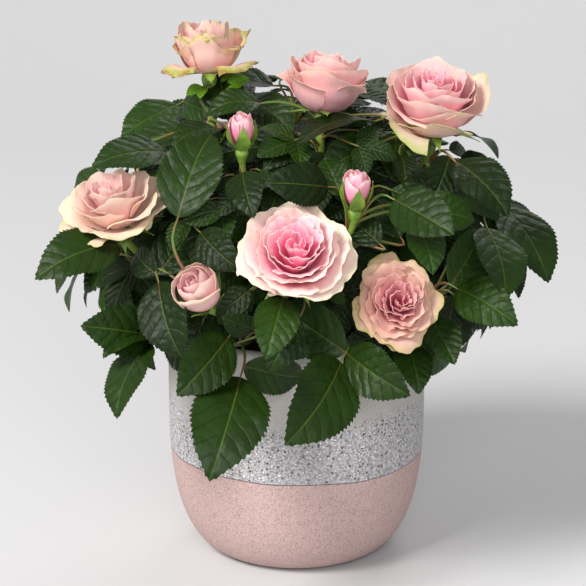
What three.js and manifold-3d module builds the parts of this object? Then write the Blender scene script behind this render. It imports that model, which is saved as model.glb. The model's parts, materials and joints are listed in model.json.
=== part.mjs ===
// A rose bush with pink blooms, in a round pot with a glazed upper half.
// Millimetres, +Z up. The origin is the middle of the pot's flat underside, and the side
// that is looked at faces -Y. Bearings are degrees round +Z from +X, and elevations are
// degrees above level.
import * as THREE from 'three';
import { mergeVertices } from 'three/addons/utils/BufferGeometryUtils.js';
import Module from 'manifold-3d';

const wasm = await Module();
wasm.setup();

// Driving sizes of the pot, its soil and the woody stem in it.
const POT = { radius: 72.5, height: 135, foot: 42, bend: 90, roundness: 2.8, wall: 5.5, floor: 7, lip: 1.5 };
const POT_SIDES = 36;
const SOIL_TOP = 120;
const GAP = 0.3;
const SLIVERS = [0.05, 0.07, 0.1, 0.03, 0.14, 0.2];
const SPOT = 0.001;
const MAIN_STEM = { height: 30, base: 11, top: 6.5, lean: [2.5, -1.5], sides: 10, steps: 4 };
const CANE = { base: 2.6, neck: 2, tip: 1.6, sides: 5, steps: 3 };
const CANE_TIERS = [5, 13, 21];
const CANE_SHARE = 0.42;
// How a stem's curve is drawn: how far its handles reach, as shares of its length, how
// steeply it leaves the woody stem and how steeply a leafy one ends.
const ROUTE = { first: 0.38, last: 0.3, leaves: 0.35, ends: 0.55, sunk: 0.5 };

// The crown is a dome; a leaf's joint sits on one of its layers, and its tips stay inside a
// slightly larger one.
const CROWN = { centre: [0, 0, 180], reach: [122, 108, 95], tips: [145, 128, 90] };
// Leaves face outward and turn towards the light, those on the lit side most.
const LIGHT_FROM = [-0.2, -0.8, 0.55];
const FACE = { pull: 0.9, reach: 0.35, shown: 1.4 };
const FRONT = [0, -0.96, 0.28];

// Every flowering stem that shows: the middle of its bloom, the way the bloom looks as
// bearing and elevation, and how far it is across.
const FLOWERING = [
  { name: 'upper_left', bears: 'cup', middle: [-51, -8, 288], looks: [120, 84], across: 47 },
  { name: 'upper_middle', bears: 'cup', middle: [16, -25, 272], looks: [40, 80], across: 48 },
  { name: 'upper_right', bears: 'cup', middle: [76, -28, 264], looks: [-85, 72], across: 60 },
  { name: 'left', bears: 'bloom', middle: [-98, -48, 211], looks: [-125, 68], across: 58 },
  { name: 'middle', bears: 'bloom', middle: [-1, -96, 202], looks: [-92, 48], across: 64 },
  { name: 'front_right', bears: 'bloom', middle: [52, -95, 173], looks: [-84, 32], across: 54 },
  { name: 'left_front', bears: 'half', middle: [-54, -97, 180], looks: [-130, 48], across: 27 },
  { name: 'left_bud', bears: 'bud', middle: [-29, -60, 255], looks: [-90, 82], across: 15 },
  { name: 'right_bud', bears: 'bud', middle: [31, -88, 230], looks: [-70, 80], across: 16 },
];

// How far below its middle a bloom meets its stem, as a share of its width.
const BLOOM_DEPTH = { cup: 0.36, bloom: 0.34, half: 0.42, bud: 0.72 };
// How far a stem runs up into its bloom, as the same share.
const BLOOM_SUNK = 0.15;

// Leafy stems in front, by where they end.
const LEAFY = [
  { name: 'right', end: [104, -12, 206] },
  { name: 'lower_left', end: [-84, -58, 158] },
  { name: 'lower_front', end: [-36, -84, 146] },
  { name: 'lower_middle', end: [20, -86, 150] },
  { name: 'lower_right', end: [82, -62, 168] },
  { name: 'top', end: [-4, 22, 256] },
];

// Round the back the stems alternate, high with a flower and low with leaves alone.
const BACK_NAMES = ['far_right', 'back_right', 'back', 'back_left', 'far_left'];
const BACK_BEARS = ['half', 'bloom', 'bud', 'bloom', 'half'];
const BACK = { first: 18, step: 36, out: 0.82, height: [212, 226], across: { half: 30, bloom: 56, bud: 15 } };
const LOW_NAMES = ['low_right', 'low_back_right', 'low_back_left', 'low_left'];
const LOW = { first: 8, step: 54, out: 0.74, height: 158 };

// The leaves that show best: where the leaflets of each meet, and for every leaflet its
// bearing, elevation and length and how far it is rolled about its midrib from facing the
// front. The first one goes on from the stalk.
const SHOWN_LEAVES = [
  [[-63, 18, 254], [-144, -19, 44, 0], [-52, -4, 28, 30]],
  [[-36, -34, 252], [101, 32, 42, 0]],
  [[-40, -26, 249], [-136, -4, 36, 20]],
  [[-28, 5, 259], [-49, -19, 42, 0]],
  [[4, -38, 248], [-126, -17, 36, 0]],
  [[-63, -34, 237], [-151, 0, 52, 24]],
  [[-64, -86, 209], [63, 47, 60, 0]],
  [[-90, -68, 197], [-147, -11, 56, 22]],
  [[-108, -12, 166], [-63, -23, 46, 0]],
  [[-77, -74, 146], [-118, -39, 52, 34], [-149, 16, 44, 30], [-138, -4, 34, 74]],
  [[-74, -82, 183], [-67, -48, 50, 0], [122, 16, 26, 0], [52, 33, 38, 0]],
  [[-53, -79, 207], [-43, -28, 36, 0]],
  [[-33, -90, 154], [-130, -29, 50, 0]],
  [[-28, -92, 135], [-106, -35, 72, 0], [24, -19, 38, 0]],
  [[26, -97, 144], [-120, -28, 68, 0], [-40, -20, 44, 0], [147, 24, 47, 0]],
  [[-6, -97, 178], [-108, -41, 42, 0]],
  [[-21, -97, 156], [-140, 28, 26, 0]],
  [[57, -65, 142], [-76, -32, 38, 0]],
  [[70, -75, 159], [-65, -33, 36, 0]],
  [[82, -69, 173], [-42, -16, 46, 0], [49, 39, 40, 0]],
  [[101, -48, 203], [-78, -33, 54, 0]],
  [[111, -21, 208], [-57, -39, 58, 0]],
  [[82, -42, 237], [-48, -28, 50, 0], [-121, -47, 30, 0]],
  [[85, 12, 237], [-41, -9, 36, -40]],
  [[47, -85, 226], [-45, -14, 48, 0]],
  [[62, -80, 212], [-73, -36, 36, 0]],
  [[54, -23, 249], [-98, -44, 34, 0]],
  [[46, -36, 256], [-150, -9, 54, 55]],
  [[46, -38, 244], [-145, -15, 42, 0]],
  [[20, -75, 228], [-149, 11, 42, 0]],
  [[24, -79, 222], [116, 38, 30, 0]],
  [[56, -80, 200], [117, 26, 34, 0]],
  [[45, -95, 201], [127, 17, 30, 0]],
  [[-29, -72, 238], [-79, -28, 36, 0]],
];

// The other leaves: how far out on the dome each layer has its joints, how many places
// it tries and how long its end leaflets are.
const LAYER_TWIST = 47;
const LAYERS = [
  { out: 0.87, tries: 220, length: 50 },
  { out: 0.74, tries: 160, length: 46 },
  { out: 0.6, tries: 70, length: 40 },
];
const LOWEST = -0.45;
// How a leaf lies on the dome: outward, downhill and swung to one side at random, with
// its place and its length varied a little as well.
const LIE = { out: 0.45, flatterOnTop: 0.8, down: 0.62, swing: 1.4, jitter: 0.12, stretch: 0.26 };
// A place is tried with the leaf straight, swung to each side and made smaller, and last
// with one leaflet alone: sideways lean, share of the length, leaflets.
const ATTEMPTS = [
  [0, 1, 5], [0, 1, 3], [0.6, 0.95, 3], [-0.6, 0.95, 3], [1.3, 0.85, 3], [-1.3, 0.85, 3], [0.3, 0.7, 3],
  [-0.4, 1, 1], [0.5, 0.95, 1], [1.2, 0.9, 1], [-1.2, 0.9, 1], [0, 0.75, 1],
];
const GOLDEN_ANGLE = 137.508;
// A stalk's usual and longest reach, how its curve leaves the stem and bends, how strongly
// it prefers to rise, and where along it the second pair sits at the lowest.
const STALK = { usual: 27, longest: 62, bend: 0.35, turns: 1.2, rises: 0.8, lowestKnot: 0.4 };
const PETIOLULE = 0.1;
const STAGGER = 0.5;
const TURNS_BACK = 0.1;
const SIDE_TILT = -0.15;
const LATERAL = { share: 0.8, spread: 58 };
const SECOND_PAIR = { share: 0.62, spread: 70, back: 0.45 };
const LEAF = { halfWidth: 0.31, thick: 1.3, arch: [0.05, 0.09, 0.07, 0.12], fold: [0.16, 0.08, 0.22, 0.12] };
const LEAF_STATIONS = [[0.3, 0.96], [0.64, 0.86]];
const CLEAR = { leaf: 2.4, twig: 1.8, twigs: 2.8, pot: 3, bloom: 1 };
// No leaf grows into a bloom or in front of it.
const OPEN_BEFORE_BLOOM = 60;
const BLOOM_ROOM = 0.52;
const BUD_ROOM = 0.8;
const FRONT_HALF = 20;

// Vector arithmetic on plain lists of three numbers.
const add = (a, b) => [a[0] + b[0], a[1] + b[1], a[2] + b[2]];
const sub = (a, b) => [a[0] - b[0], a[1] - b[1], a[2] - b[2]];
const times = (a, s) => [a[0] * s, a[1] * s, a[2] * s];
const dot = (a, b) => a[0] * b[0] + a[1] * b[1] + a[2] * b[2];
const cross = (a, b) => [a[1] * b[2] - a[2] * b[1], a[2] * b[0] - a[0] * b[2], a[0] * b[1] - a[1] * b[0]];
const size = (a) => Math.sqrt(dot(a, a));
const unit = (a) => times(a, 1 / size(a));
const along = (a, b, t) => add(a, times(sub(b, a), t));
const radians = (degrees) => degrees * Math.PI / 180;
const square = (a, b) => unit(sub(a, times(b, dot(a, b))));

function heading(bearing, elevation) {
  const a = radians(bearing);
  const e = radians(elevation);
  return [Math.cos(e) * Math.cos(a), Math.cos(e) * Math.sin(a), Math.sin(e)];
}

function turned(v, axis, degrees) {
  const c = Math.cos(radians(degrees));
  const s = Math.sin(radians(degrees));
  return add(add(times(v, c), times(cross(axis, v), s)), times(axis, dot(axis, v) * (1 - c)));
}

// A seeded dice, the same on every machine.
function makeDice(seed) {
  let state = seed;
  return () => {
    state = (Math.imul(state, 1664525) + 1013904223) >>> 0;
    return state / 4294967296;
  };
}

// Curves with four control points, for canes, stems and leaf stalks.
function curvePoint(curve, t) {
  const s = 1 - t;
  const weights = [s * s * s, 3 * s * s * t, 3 * s * t * t, t * t * t];
  return weights.reduce((sum, w, i) => add(sum, times(curve[i], w)), [0, 0, 0]);
}

function curveHeading(curve, t) {
  const s = 1 - t;
  const weights = [s * s, 2 * s * t, t * t];
  const steps = [0, 1, 2].map((i) => sub(curve[i + 1], curve[i]));
  return unit(weights.reduce((sum, w, i) => add(sum, times(steps[i], w)), [0, 0, 0]));
}

// Closed shapes from vertices and triangles.
function solidFrom(vertices, triangles) {
  const mesh = new wasm.Mesh({
    numProp: 3,
    vertProperties: new Float32Array(vertices.flat()),
    triVerts: new Uint32Array(triangles.flat()),
  });
  return new wasm.Manifold(mesh);
}

function solidFromGeometry(geometry) {
  geometry.deleteAttribute('normal');
  geometry.deleteAttribute('uv');
  const merged = mergeVertices(geometry, 1e-4);
  const mesh = new wasm.Mesh({
    numProp: 3,
    vertProperties: new Float32Array(merged.attributes.position.array),
    triVerts: new Uint32Array(merged.index.array),
  });
  return new wasm.Manifold(mesh);
}

function geometryFrom(solid) {
  const mesh = solid.getMesh();
  const geometry = new THREE.BufferGeometry();
  geometry.setAttribute('position', new THREE.BufferAttribute(new Float32Array(mesh.vertProperties), 3));
  geometry.setIndex(new THREE.BufferAttribute(new Uint32Array(mesh.triVerts), 1));
  geometry.computeVertexNormals();
  return geometry;
}

// A lathe shape that stands upright on its axis.
function turnedSolid(profile, sides) {
  const points = profile.map(([r, z]) => new THREE.Vector2(r, z));
  const geometry = new THREE.LatheGeometry(points, sides);
  geometry.rotateX(Math.PI / 2);
  return solidFromGeometry(geometry);
}

// True when every edge still has two faces once vertices on one spot are merged.
function staysClosed(solid) {
  const { vertProperties, triVerts } = solid.getMesh();
  const geometry = new THREE.BufferGeometry();
  geometry.setAttribute('position', new THREE.BufferAttribute(vertProperties, 3));
  geometry.setIndex(new THREE.BufferAttribute(triVerts, 1));
  const corners = mergeVertices(geometry, SPOT).index.array;
  const faces = new Map();
  for (let t = 0; t < corners.length; t += 3) {
    const face = corners.slice(t, t + 3);
    if (new Set(face).size < 3) continue;
    face.forEach((from, k) => {
      const to = face[(k + 1) % 3];
      const edge = `${Math.min(from, to)} ${Math.max(from, to)}`;
      faces.set(edge, (faces.get(edge) ?? 0) + 1);
    });
  }
  return [...faces.values()].every((count) => count === 2);
}

// The largest body of a union: hollows that fusing sealed are filled, loose scraps go,
// and slivers are merged away, with a little more tolerance where one was left.
function fuse(solids) {
  const whole = wasm.Manifold.union(solids).asOriginal();
  let largest = null;
  for (const tolerance of SLIVERS) {
    const bodies = whole.simplify(tolerance).decompose();
    largest = bodies.reduce((best, body) => (body.volume() > best.volume() ? body : best));
    if (staysClosed(largest)) break;
  }
  return largest;
}

// A ring of places round a middle, swept by turning a spoke about an axis.
function ringOf(middle, spoke, axis, sides) {
  return Array.from({ length: sides }, (_, k) => add(middle, turned(spoke, axis, 360 * k / sides)));
}

// Rings of places joined by faces. The ends close on two poles, or are plain flat cuts.
function loft(rings, poles) {
  const sides = rings[0].length;
  const vertices = rings.flat();
  const last = vertices.length - sides;
  const triangles = [];
  for (let a = 0; a < last; a += sides) {
    for (let k = 0; k < sides; k += 1) {
      const here = a + k;
      const next = a + (k + 1) % sides;
      triangles.push([here, next, next + sides], [here, next + sides, here + sides]);
    }
  }
  if (poles) vertices.push(...poles);
  for (let k = 0; k < sides; k += 1) {
    const next = (k + 1) % sides;
    if (poles) triangles.push([last + sides, next, k], [last + sides + 1, last + k, last + next]);
    else if (k > 0 && next > 0) triangles.push([0, next, k], [last, last + k, last + next]);
  }
  return solidFrom(vertices, triangles);
}

// A tapering limb round a row of points, cut square at both ends.
function limb(points, radii, sides) {
  let out = null;
  const rings = points.map((p, i) => {
    const ahead = points[Math.min(i + 1, points.length - 1)];
    const behind = points[Math.max(i - 1, 0)];
    const way = unit(sub(ahead, behind));
    out = square(out ?? (Math.abs(way[2]) > 0.9 ? [1, 0, 0] : [0, 0, 1]), way);
    return ringOf(p, times(out, radii[i]), way, sides);
  });
  return loft(rings);
}

// A blade is a thin closed shell with a ridge: a leaflet, a petal or a sepal. Its frame is
// base, along, side and face, and each station gives a share of the length and the width.
function bladeHeight(blade, x, y) {
  return blade.arch * 4 * y * (1 - y) + blade.fold * Math.abs(x);
}

function bladePoint(blade, x, y, lift) {
  const up = bladeHeight(blade, x, y) * blade.length + lift;
  const flat = add(times(blade.along, y * blade.length), times(blade.side, x * blade.length));
  return add(blade.base, add(flat, times(blade.face, up)));
}

function ridgePlace(stations) {
  return (stations[0][0] + stations[1][0]) / 2;
}

function bladeSolid(blade, stations, thick) {
  const middle = ridgePlace(stations);
  const vertices = [bladePoint(blade, 0, 0, 0), bladePoint(blade, 0, 1, 0)];
  for (const [y, share] of stations) {
    const x = blade.halfWidth * share;
    vertices.push(bladePoint(blade, -x, y, 0), bladePoint(blade, x, y, 0));
  }
  vertices.push(bladePoint(blade, 0, middle, thick / 2), bladePoint(blade, 0, middle, -thick / 2));
  const outline = [0, 3, 5, 1, 4, 2];
  const triangles = outline.flatMap((a, i) => {
    const b = outline[(i + 1) % outline.length];
    return [[6, a, b], [7, b, a]];
  });
  return solidFrom(vertices, triangles);
}

// Where each stem of the bush runs: from the woody stem, through its cane, to its end.
function bloomBase(stem) {
  return sub(stem.middle, times(stem.looks, stem.across * BLOOM_DEPTH[stem.bears]));
}

function placeOnDome(bearing, out, height) {
  const level = heading(bearing, 0);
  return [level[0] * CROWN.reach[0] * out, level[1] * CROWN.reach[1] * out, height];
}

function allStems() {
  const stems = FLOWERING.map((row) => ({ ...row, looks: heading(...row.looks) }));
  BACK_NAMES.forEach((name, i) => {
    const bearing = BACK.first + i * BACK.step;
    const middle = placeOnDome(bearing, BACK.out, BACK.height[i % 2]);
    const bears = BACK_BEARS[i];
    stems.push({ name, bears, middle, looks: heading(bearing, 52), across: BACK.across[bears] });
  });
  stems.forEach((stem) => { stem.end = bloomBase(stem); });
  LOW_NAMES.forEach((name, i) => {
    stems.push({ name, end: placeOnDome(LOW.first + i * LOW.step, LOW.out, LOW.height) });
  });
  LEAFY.forEach((row) => stems.push({ ...row }));
  stems.forEach((stem) => {
    stem.level = Math.hypot(stem.end[0], stem.end[1]);
    stem.bearing = Math.atan2(stem.end[1], stem.end[0]) * 180 / Math.PI;
    stem.steepness = (stem.end[2] - SOIL_TOP) / stem.level;
  });
  return stems;
}

function mainStemAxis(height) {
  const share = height / MAIN_STEM.height;
  return [MAIN_STEM.lean[0] * share, MAIN_STEM.lean[1] * share, SOIL_TOP + height];
}

function mainStemRadius(height) {
  const share = height / MAIN_STEM.height;
  const flare = (MAIN_STEM.base - MAIN_STEM.top) * Math.max(0, 1 - share) ** 2.5;
  return MAIN_STEM.top + flare;
}

// Canes start in tiers, the steepest highest, and are spaced evenly round each tier.
function routeStems(stems) {
  const bySteepness = [...stems].sort((a, b) => a.steepness - b.steepness);
  const tierSize = Math.ceil(stems.length / CANE_TIERS.length);
  CANE_TIERS.forEach((height, tier) => {
    const group = bySteepness.slice(tier * tierSize, (tier + 1) * tierSize);
    group.sort((a, b) => a.bearing - b.bearing);
    const step = 360 / group.length;
    const turn = group.reduce((sum, stem, i) => sum + stem.bearing - i * step, 0) / group.length;
    group.forEach((stem, i) => {
      const out = heading(turn + i * step, 0);
      const start = add(mainStemAxis(height), times(out, mainStemRadius(height) * ROUTE.sunk));
      const reach = size(sub(stem.end, start));
      const rise = (stem.end[2] - start[2]) / reach;
      const leaves = unit([out[0], out[1], ROUTE.leaves + rise]);
      const arrives = stem.looks ?? unit([stem.end[0], stem.end[1], ROUTE.ends * stem.level]);
      const curve = [start, add(start, times(leaves, reach * ROUTE.first)), null, stem.end];
      curve[2] = sub(stem.end, times(arrives, reach * ROUTE.last));
      stem.curve = curve;
    });
  });
}

function stemPoints(stem, from, to, steps) {
  return Array.from({ length: steps + 1 }, (_, i) => curvePoint(stem.curve, from + (to - from) * i / steps));
}

function stemRadius(t) {
  if (t < CANE_SHARE) return CANE.base + (CANE.neck - CANE.base) * t / CANE_SHARE;
  return CANE.neck + (CANE.tip - CANE.neck) * (t - CANE_SHARE) / (1 - CANE_SHARE);
}

// The stem whose run passes nearest to a place: its mass owns the space there.
function nearestStem(stems, p) {
  let best = null;
  for (const stem of stems) {
    for (let t = CANE_SHARE + 0.06; t <= 1; t += 0.06) {
      const away = size(sub(p, curvePoint(stem.curve, t)));
      if (best === null || away < best.away) best = { stem, away };
    }
  }
  return best.stem;
}

// A leaf: a stalk from the stem to the joint, an end leaflet and one or two side pairs.
function leafFace(joint, way, roll) {
  const out = unit(joint.map((c, i) => (c - CROWN.centre[i]) / CROWN.reach[i]));
  if (roll !== undefined) return turned(square(add(out, times(FRONT, FACE.shown)), way), way, roll);
  const pull = FACE.pull * Math.max(0, FACE.reach + dot(out, unit(LIGHT_FROM)));
  return square(add(out, times(unit(LIGHT_FROM), pull)), way);
}

function leaflet(base, way, face, length, kind) {
  const side = cross(way, face);
  const arch = LEAF.arch[kind % LEAF.arch.length];
  const fold = LEAF.fold[kind % LEAF.fold.length];
  return { base, along: way, side, face, length, halfWidth: LEAF.halfWidth, arch, fold };
}

function makeLeaf(stem, joint, way, length, count, kind, roll) {
  const face = leafFace(joint, way, roll);
  let root = null;
  for (let t = CANE_SHARE + 0.04 + 0.0037 * (kind % 11); t < 0.97; t += 0.04) {
    const p = curvePoint(stem.curve, t);
    const away = size(sub(joint, p));
    const cost = Math.abs(away - STALK.usual) + STALK.rises * Math.max(0, p[2] - joint[2]);
    if (root === null || cost < root.cost) root = { t, p, away, cost };
  }
  const reach = root.away;
  const leaves = unit(add(curveHeading(stem.curve, root.t), times(unit(sub(joint, root.p)), STALK.turns)));
  const handle = reach * STALK.bend;
  const stalk = [root.p, add(root.p, times(leaves, handle)), sub(joint, times(way, handle)), joint];
  const petiolule = length * PETIOLULE;
  const leaflets = [leaflet(add(joint, times(way, petiolule)), way, face, length - petiolule, kind)];
  const knot = Math.max(STALK.lowestKnot, 1 - SECOND_PAIR.back * length / reach);
  const pairs = [];
  if (count >= 3) pairs.push({ ...LATERAL, place: joint });
  if (count >= 5) pairs.push({ ...SECOND_PAIR, place: curvePoint(stalk, knot) });
  const back = unit(sub(count >= 5 ? curvePoint(stalk, knot) : root.p, joint));
  for (const pair of pairs) {
    for (const hand of [-1, 1]) {
      const swung = turned(way, face, hand * pair.spread);
      const tilt = square(add(face, times(way, SIDE_TILT)), swung);
      const place = add(pair.place, times(back, STAGGER * (hand + 1)));
      leaflets.push(leaflet(place, swung, tilt, length * pair.share, kind + 1 + hand));
    }
  }
  return { stem, root: root.t, stalk, knot, reach, leaflets, forward: -dot(back, way) };
}

function shownLeaf(stem, joint, rows, kind) {
  const [[bearing, elevation, length, roll], ...others] = rows;
  const leaf = makeLeaf(stem, joint, heading(bearing, elevation), length, 1, kind, roll);
  const back = unit(sub(leaf.stalk[0], joint));
  others.forEach((row, i) => {
    const way = heading(row[0], row[1]);
    const place = add(joint, times(back, STAGGER * (i + 1)));
    leaf.leaflets.push(leaflet(place, way, leafFace(joint, way, row[3]), row[2], kind + i + 1));
  });
  return leaf;
}

function stalkPoints(leaf, steps) {
  return Array.from({ length: steps + 1 }, (_, i) => curvePoint(leaf.stalk, i / steps));
}

// What is already there, as sample points on limbs and frames of blades.
const crowd = { leaflets: [], twigs: [], blooms: [] };

function edgeShare(y) {
  return Math.max(0, Math.min(1, 3.5 * y + 0.1, 2.4 * (1 - y) + 0.1));
}

function nearBlade(p, blade, gap) {
  const q = sub(p, blade.base);
  const edge = gap / blade.length;
  const y = dot(q, blade.along) / blade.length;
  if (y < -edge || y > 1 + edge) return false;
  const x = dot(q, blade.side) / blade.length;
  if (Math.abs(x) > blade.halfWidth * edgeShare(y) + edge) return false;
  const z = dot(q, blade.face) / blade.length;
  return Math.abs(z - bladeHeight(blade, x, y)) < edge;
}

function bladeSamples(blade) {
  const samples = [];
  for (const y of [0.1, 0.27, 0.44, 0.61, 0.78, 0.96]) {
    for (const x of [-0.9, 0, 0.9]) samples.push(bladePoint(blade, x * blade.halfWidth * edgeShare(y), y, 0));
  }
  return samples;
}

function nearPot(p) {
  return p[2] < POT.height + CLEAR.pot && Math.hypot(p[0], p[1]) < POT.radius + CLEAR.pot;
}

function nearBloom(p, bloom) {
  const q = sub(p, bloom.middle);
  if (size(q) < bloom.radius + CLEAR.bloom) return true;
  const ahead = dot(q, bloom.open);
  if (ahead < 0 || ahead > OPEN_BEFORE_BLOOM) return false;
  return size(sub(q, times(bloom.open, ahead))) < bloom.radius;
}

function insideCrown(leaf) {
  const tips = leaf.leaflets.map((blade) => bladePoint(blade, 0, 1, 0));
  return tips.every((tip) => size(tip.map((c, i) => (c - CROWN.centre[i]) / CROWN.tips[i])) < 1);
}

function leafIsClear(leaf) {
  const stalk = stalkPoints(leaf, 8).slice(2);
  const blades = leaf.leaflets.map((blade) => ({ blade, samples: bladeSamples(blade) }));
  for (const p of stalk) {
    if (nearPot(p)) return false;
    if (crowd.blooms.some((bloom) => bloom.stem !== leaf.stem && nearBloom(p, bloom))) return false;
    for (const other of crowd.leaflets) {
      if (size(sub(p, other.base)) < other.length * 1.2 && nearBlade(p, other, CLEAR.twig)) return false;
    }
    for (const twig of crowd.twigs) {
      if (twig.stem !== leaf.stem && size(sub(p, twig.p)) < CLEAR.twigs) return false;
    }
  }
  for (const { blade, samples } of blades) {
    const heart = bladePoint(blade, 0, 0.5, 0);
    for (const p of samples) {
      if (nearPot(p)) return false;
      if (crowd.blooms.some((bloom) => nearBloom(p, bloom))) return false;
    }
    for (const other of crowd.leaflets) {
      const reach = (other.length + blade.length) * 0.55 + CLEAR.leaf;
      if (size(sub(heart, other.heart)) > reach) continue;
      if (samples.some((p) => nearBlade(p, other, CLEAR.leaf))) return false;
      if (other.samples.some((p) => nearBlade(p, blade, CLEAR.leaf))) return false;
    }
    for (const twig of crowd.twigs) {
      if (size(sub(twig.p, heart)) < blade.length && nearBlade(twig.p, blade, CLEAR.twig)) return false;
    }
  }
  return true;
}

function remember(leaf) {
  for (const blade of leaf.leaflets) {
    crowd.leaflets.push({ ...blade, heart: bladePoint(blade, 0, 0.5, 0), samples: bladeSamples(blade) });
  }
  for (const p of stalkPoints(leaf, 8).slice(1)) crowd.twigs.push({ p, stem: leaf.stem });
}

// Leaves that show come first, then each layer of the dome is filled by a spiral of
// places. A place that fails is tried again with the leaf swung round and shortened.
function placeLeaves(stems) {
  const leaves = [];
  const accept = (leaf) => {
    leaves.push(leaf);
    remember(leaf);
  };
  SHOWN_LEAVES.forEach(([joint, ...rows], i) => accept(shownLeaf(nearestStem(stems, joint), joint, rows, i)));
  const dice = makeDice(20261);
  LAYERS.forEach((layer, index) => {
    for (let i = 0; i < layer.tries; i += 1) {
      const high = 1 - (1 - LOWEST) * (i + 0.5) / layer.tries;
      const bearing = i * GOLDEN_ANGLE + index * LAYER_TWIST;
      const out = heading(bearing, Math.asin(high) * 180 / Math.PI);
      const level = heading(bearing, 0);
      const beside = [-level[1], level[0], 0];
      const down = unit(sub(times(level, high), [0, 0, Math.hypot(out[0], out[1])]));
      const swing = (dice() - 0.5) * LIE.swing;
      const jitter = 1 + (dice() - 0.5) * LIE.jitter;
      const stretch = 1 + (dice() - 0.5) * LIE.stretch;
      for (const [turn, share, leaflets] of ATTEMPTS) {
        const joint = out.map((c, k) => CROWN.centre[k] + c * CROWN.reach[k] * layer.out * jitter);
        const rise = LIE.out * (1 - LIE.flatterOnTop * Math.max(0, high));
        const lean = add(times(out, rise), add(times(down, LIE.down), times(beside, swing + turn)));
        const stem = nearestStem(stems, joint);
        const leaf = makeLeaf(stem, joint, unit(lean), layer.length * stretch * share, leaflets, i);
        const grows = leaf.reach < STALK.longest && leaf.forward > TURNS_BACK && insideCrown(leaf);
        if (grows && leafIsClear(leaf)) {
          accept(leaf);
          break;
        }
      }
    }
  });
  return leaves;
}

// Solids of the pot and the soil.
function potRadius(z) {
  if (z >= POT.bend) return POT.radius;
  return POT.foot + (POT.radius - POT.foot) * Math.sqrt(1 - (1 - z / POT.bend) ** POT.roundness);
}

function potRings(from, to, count) {
  return Array.from({ length: count + 1 }, (_, i) => from + (to - from) * (i / count) ** 1.7);
}

function potSolid() {
  const outer = potRings(0, POT.bend, 7).map((z) => [potRadius(z), z]);
  const inner = potRings(POT.floor, POT.bend, 2).map((z) => [potRadius(z) - POT.wall, z]).reverse();
  const top = POT.height;
  const rim = [
    [POT.radius, top - POT.lip],
    [POT.radius - POT.lip, top],
    [POT.radius - POT.wall + POT.lip, top],
    [POT.radius - POT.wall, top - POT.lip],
  ];
  return turnedSolid([[0, 0], ...outer, ...rim, ...inner, [0, POT.floor]], POT_SIDES);
}

function soilSolid() {
  const side = potRings(POT.floor, POT.bend, 2).map((z) => [potRadius(z) - POT.wall - GAP, z]);
  side[0] = [side[0][0] - GAP, POT.floor + GAP];
  side.push([POT.radius - POT.wall - GAP, SOIL_TOP]);
  return turnedSolid([[0, POT.floor + GAP], ...side, [0, SOIL_TOP]], POT_SIDES);
}

// The woody stem has level rings, so that its foot is a level cut.
function mainStemSolid(extra, from, to) {
  const { steps, sides } = MAIN_STEM;
  const rings = Array.from({ length: steps + 1 }, (_, i) => {
    const height = from + (to - from) * i / steps;
    const spoke = [mainStemRadius(height) + extra, 0, 0];
    return ringOf(mainStemAxis(height), spoke, [0, 0, 1], sides);
  });
  return loft(rings);
}

// A bloom is one closed shape of rings round its axis: the underside of the bowl, a rim
// of lobes that is as wavy as the outer petals are, a dip and the rounded heart.
// Each ring is a radius, a height and a share of the waves, for a bloom that is 1 across.
const BLOOM_SHAPES = {
  bloom: {
    rings: [
      [0.09, 0, 0], [0.34, 0.1, 0.2], [0.5, 0.3, 1],
      [0.37, 0.27, 0.5], [0.3, 0.46, 0.3], [0.13, 0.56, 0],
    ],
    top: 0.5,
    sides: 10,
  },
  cup: {
    rings: [
      [0.12, 0, 0], [0.3, 0.18, 0.2], [0.5, 0.22, 1],
      [0.37, 0.3, 0.3], [0.36, 0.55, 0.3], [0.16, 0.7, 0],
    ],
    top: 0.68,
    sides: 10,
  },
  half: {
    rings: [[0.16, 0, 0], [0.42, 0.25, 0.2], [0.5, 0.6, 0.4], [0.38, 0.92, 0.6], [0.15, 0.98, 0]],
    top: 0.9,
    sides: 8,
  },
  bud: {
    rings: [[0.22, 0, 0], [0.5, 0.4, 0.1], [0.44, 0.95, 0.1], [0.2, 1.35, 0]],
    top: 1.5,
    sides: 6,
  },
};
const BLOOM_FOOT = -0.05;
const LOBES = { count: 5, out: 0.1, up: 0.07 };

function bloomSolid(stem) {
  const { rings, top, sides } = BLOOM_SHAPES[stem.bears];
  const out = square(Math.abs(stem.looks[2]) > 0.9 ? [1, 0, 0] : [0, 0, 1], stem.looks);
  const place = (r, z, a) => {
    const spoke = turned(out, stem.looks, a);
    return add(stem.end, add(times(spoke, r * stem.across), times(stem.looks, z * stem.across)));
  };
  const lobed = rings.map(([r, z, waves]) => Array.from({ length: sides }, (_, k) => {
    const wave = waves * Math.cos(radians(360 * k / sides * LOBES.count));
    return place(r * (1 + LOBES.out * wave), z + LOBES.up * wave, 360 * k / sides);
  }));
  return loft(lobed, [place(0, BLOOM_FOOT, 0), place(0, top, 0)]);
}

function caneSolid(stem, clearStem) {
  const body = stemPoints(stem, 0, CANE_SHARE, CANE.steps);
  const radii = body.map((_, i) => stemRadius(CANE_SHARE * i / CANE.steps));
  return fuse([limb(body, radii, CANE.sides).subtract(clearStem)]);
}

function massStart(stem) {
  return CANE_SHARE + GAP / size(sub(stem.end, stem.curve[0]));
}

// A place on the straight pieces that a mass's stem is built from.
function massStemPlace(stem, t) {
  const start = massStart(stem);
  const run = (t - start) / (1 - start) * CANE.steps;
  const piece = Math.min(Math.floor(run), CANE.steps - 1);
  const points = stemPoints(stem, start, 1, CANE.steps);
  return along(points[piece], points[piece + 1], run - piece);
}

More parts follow.
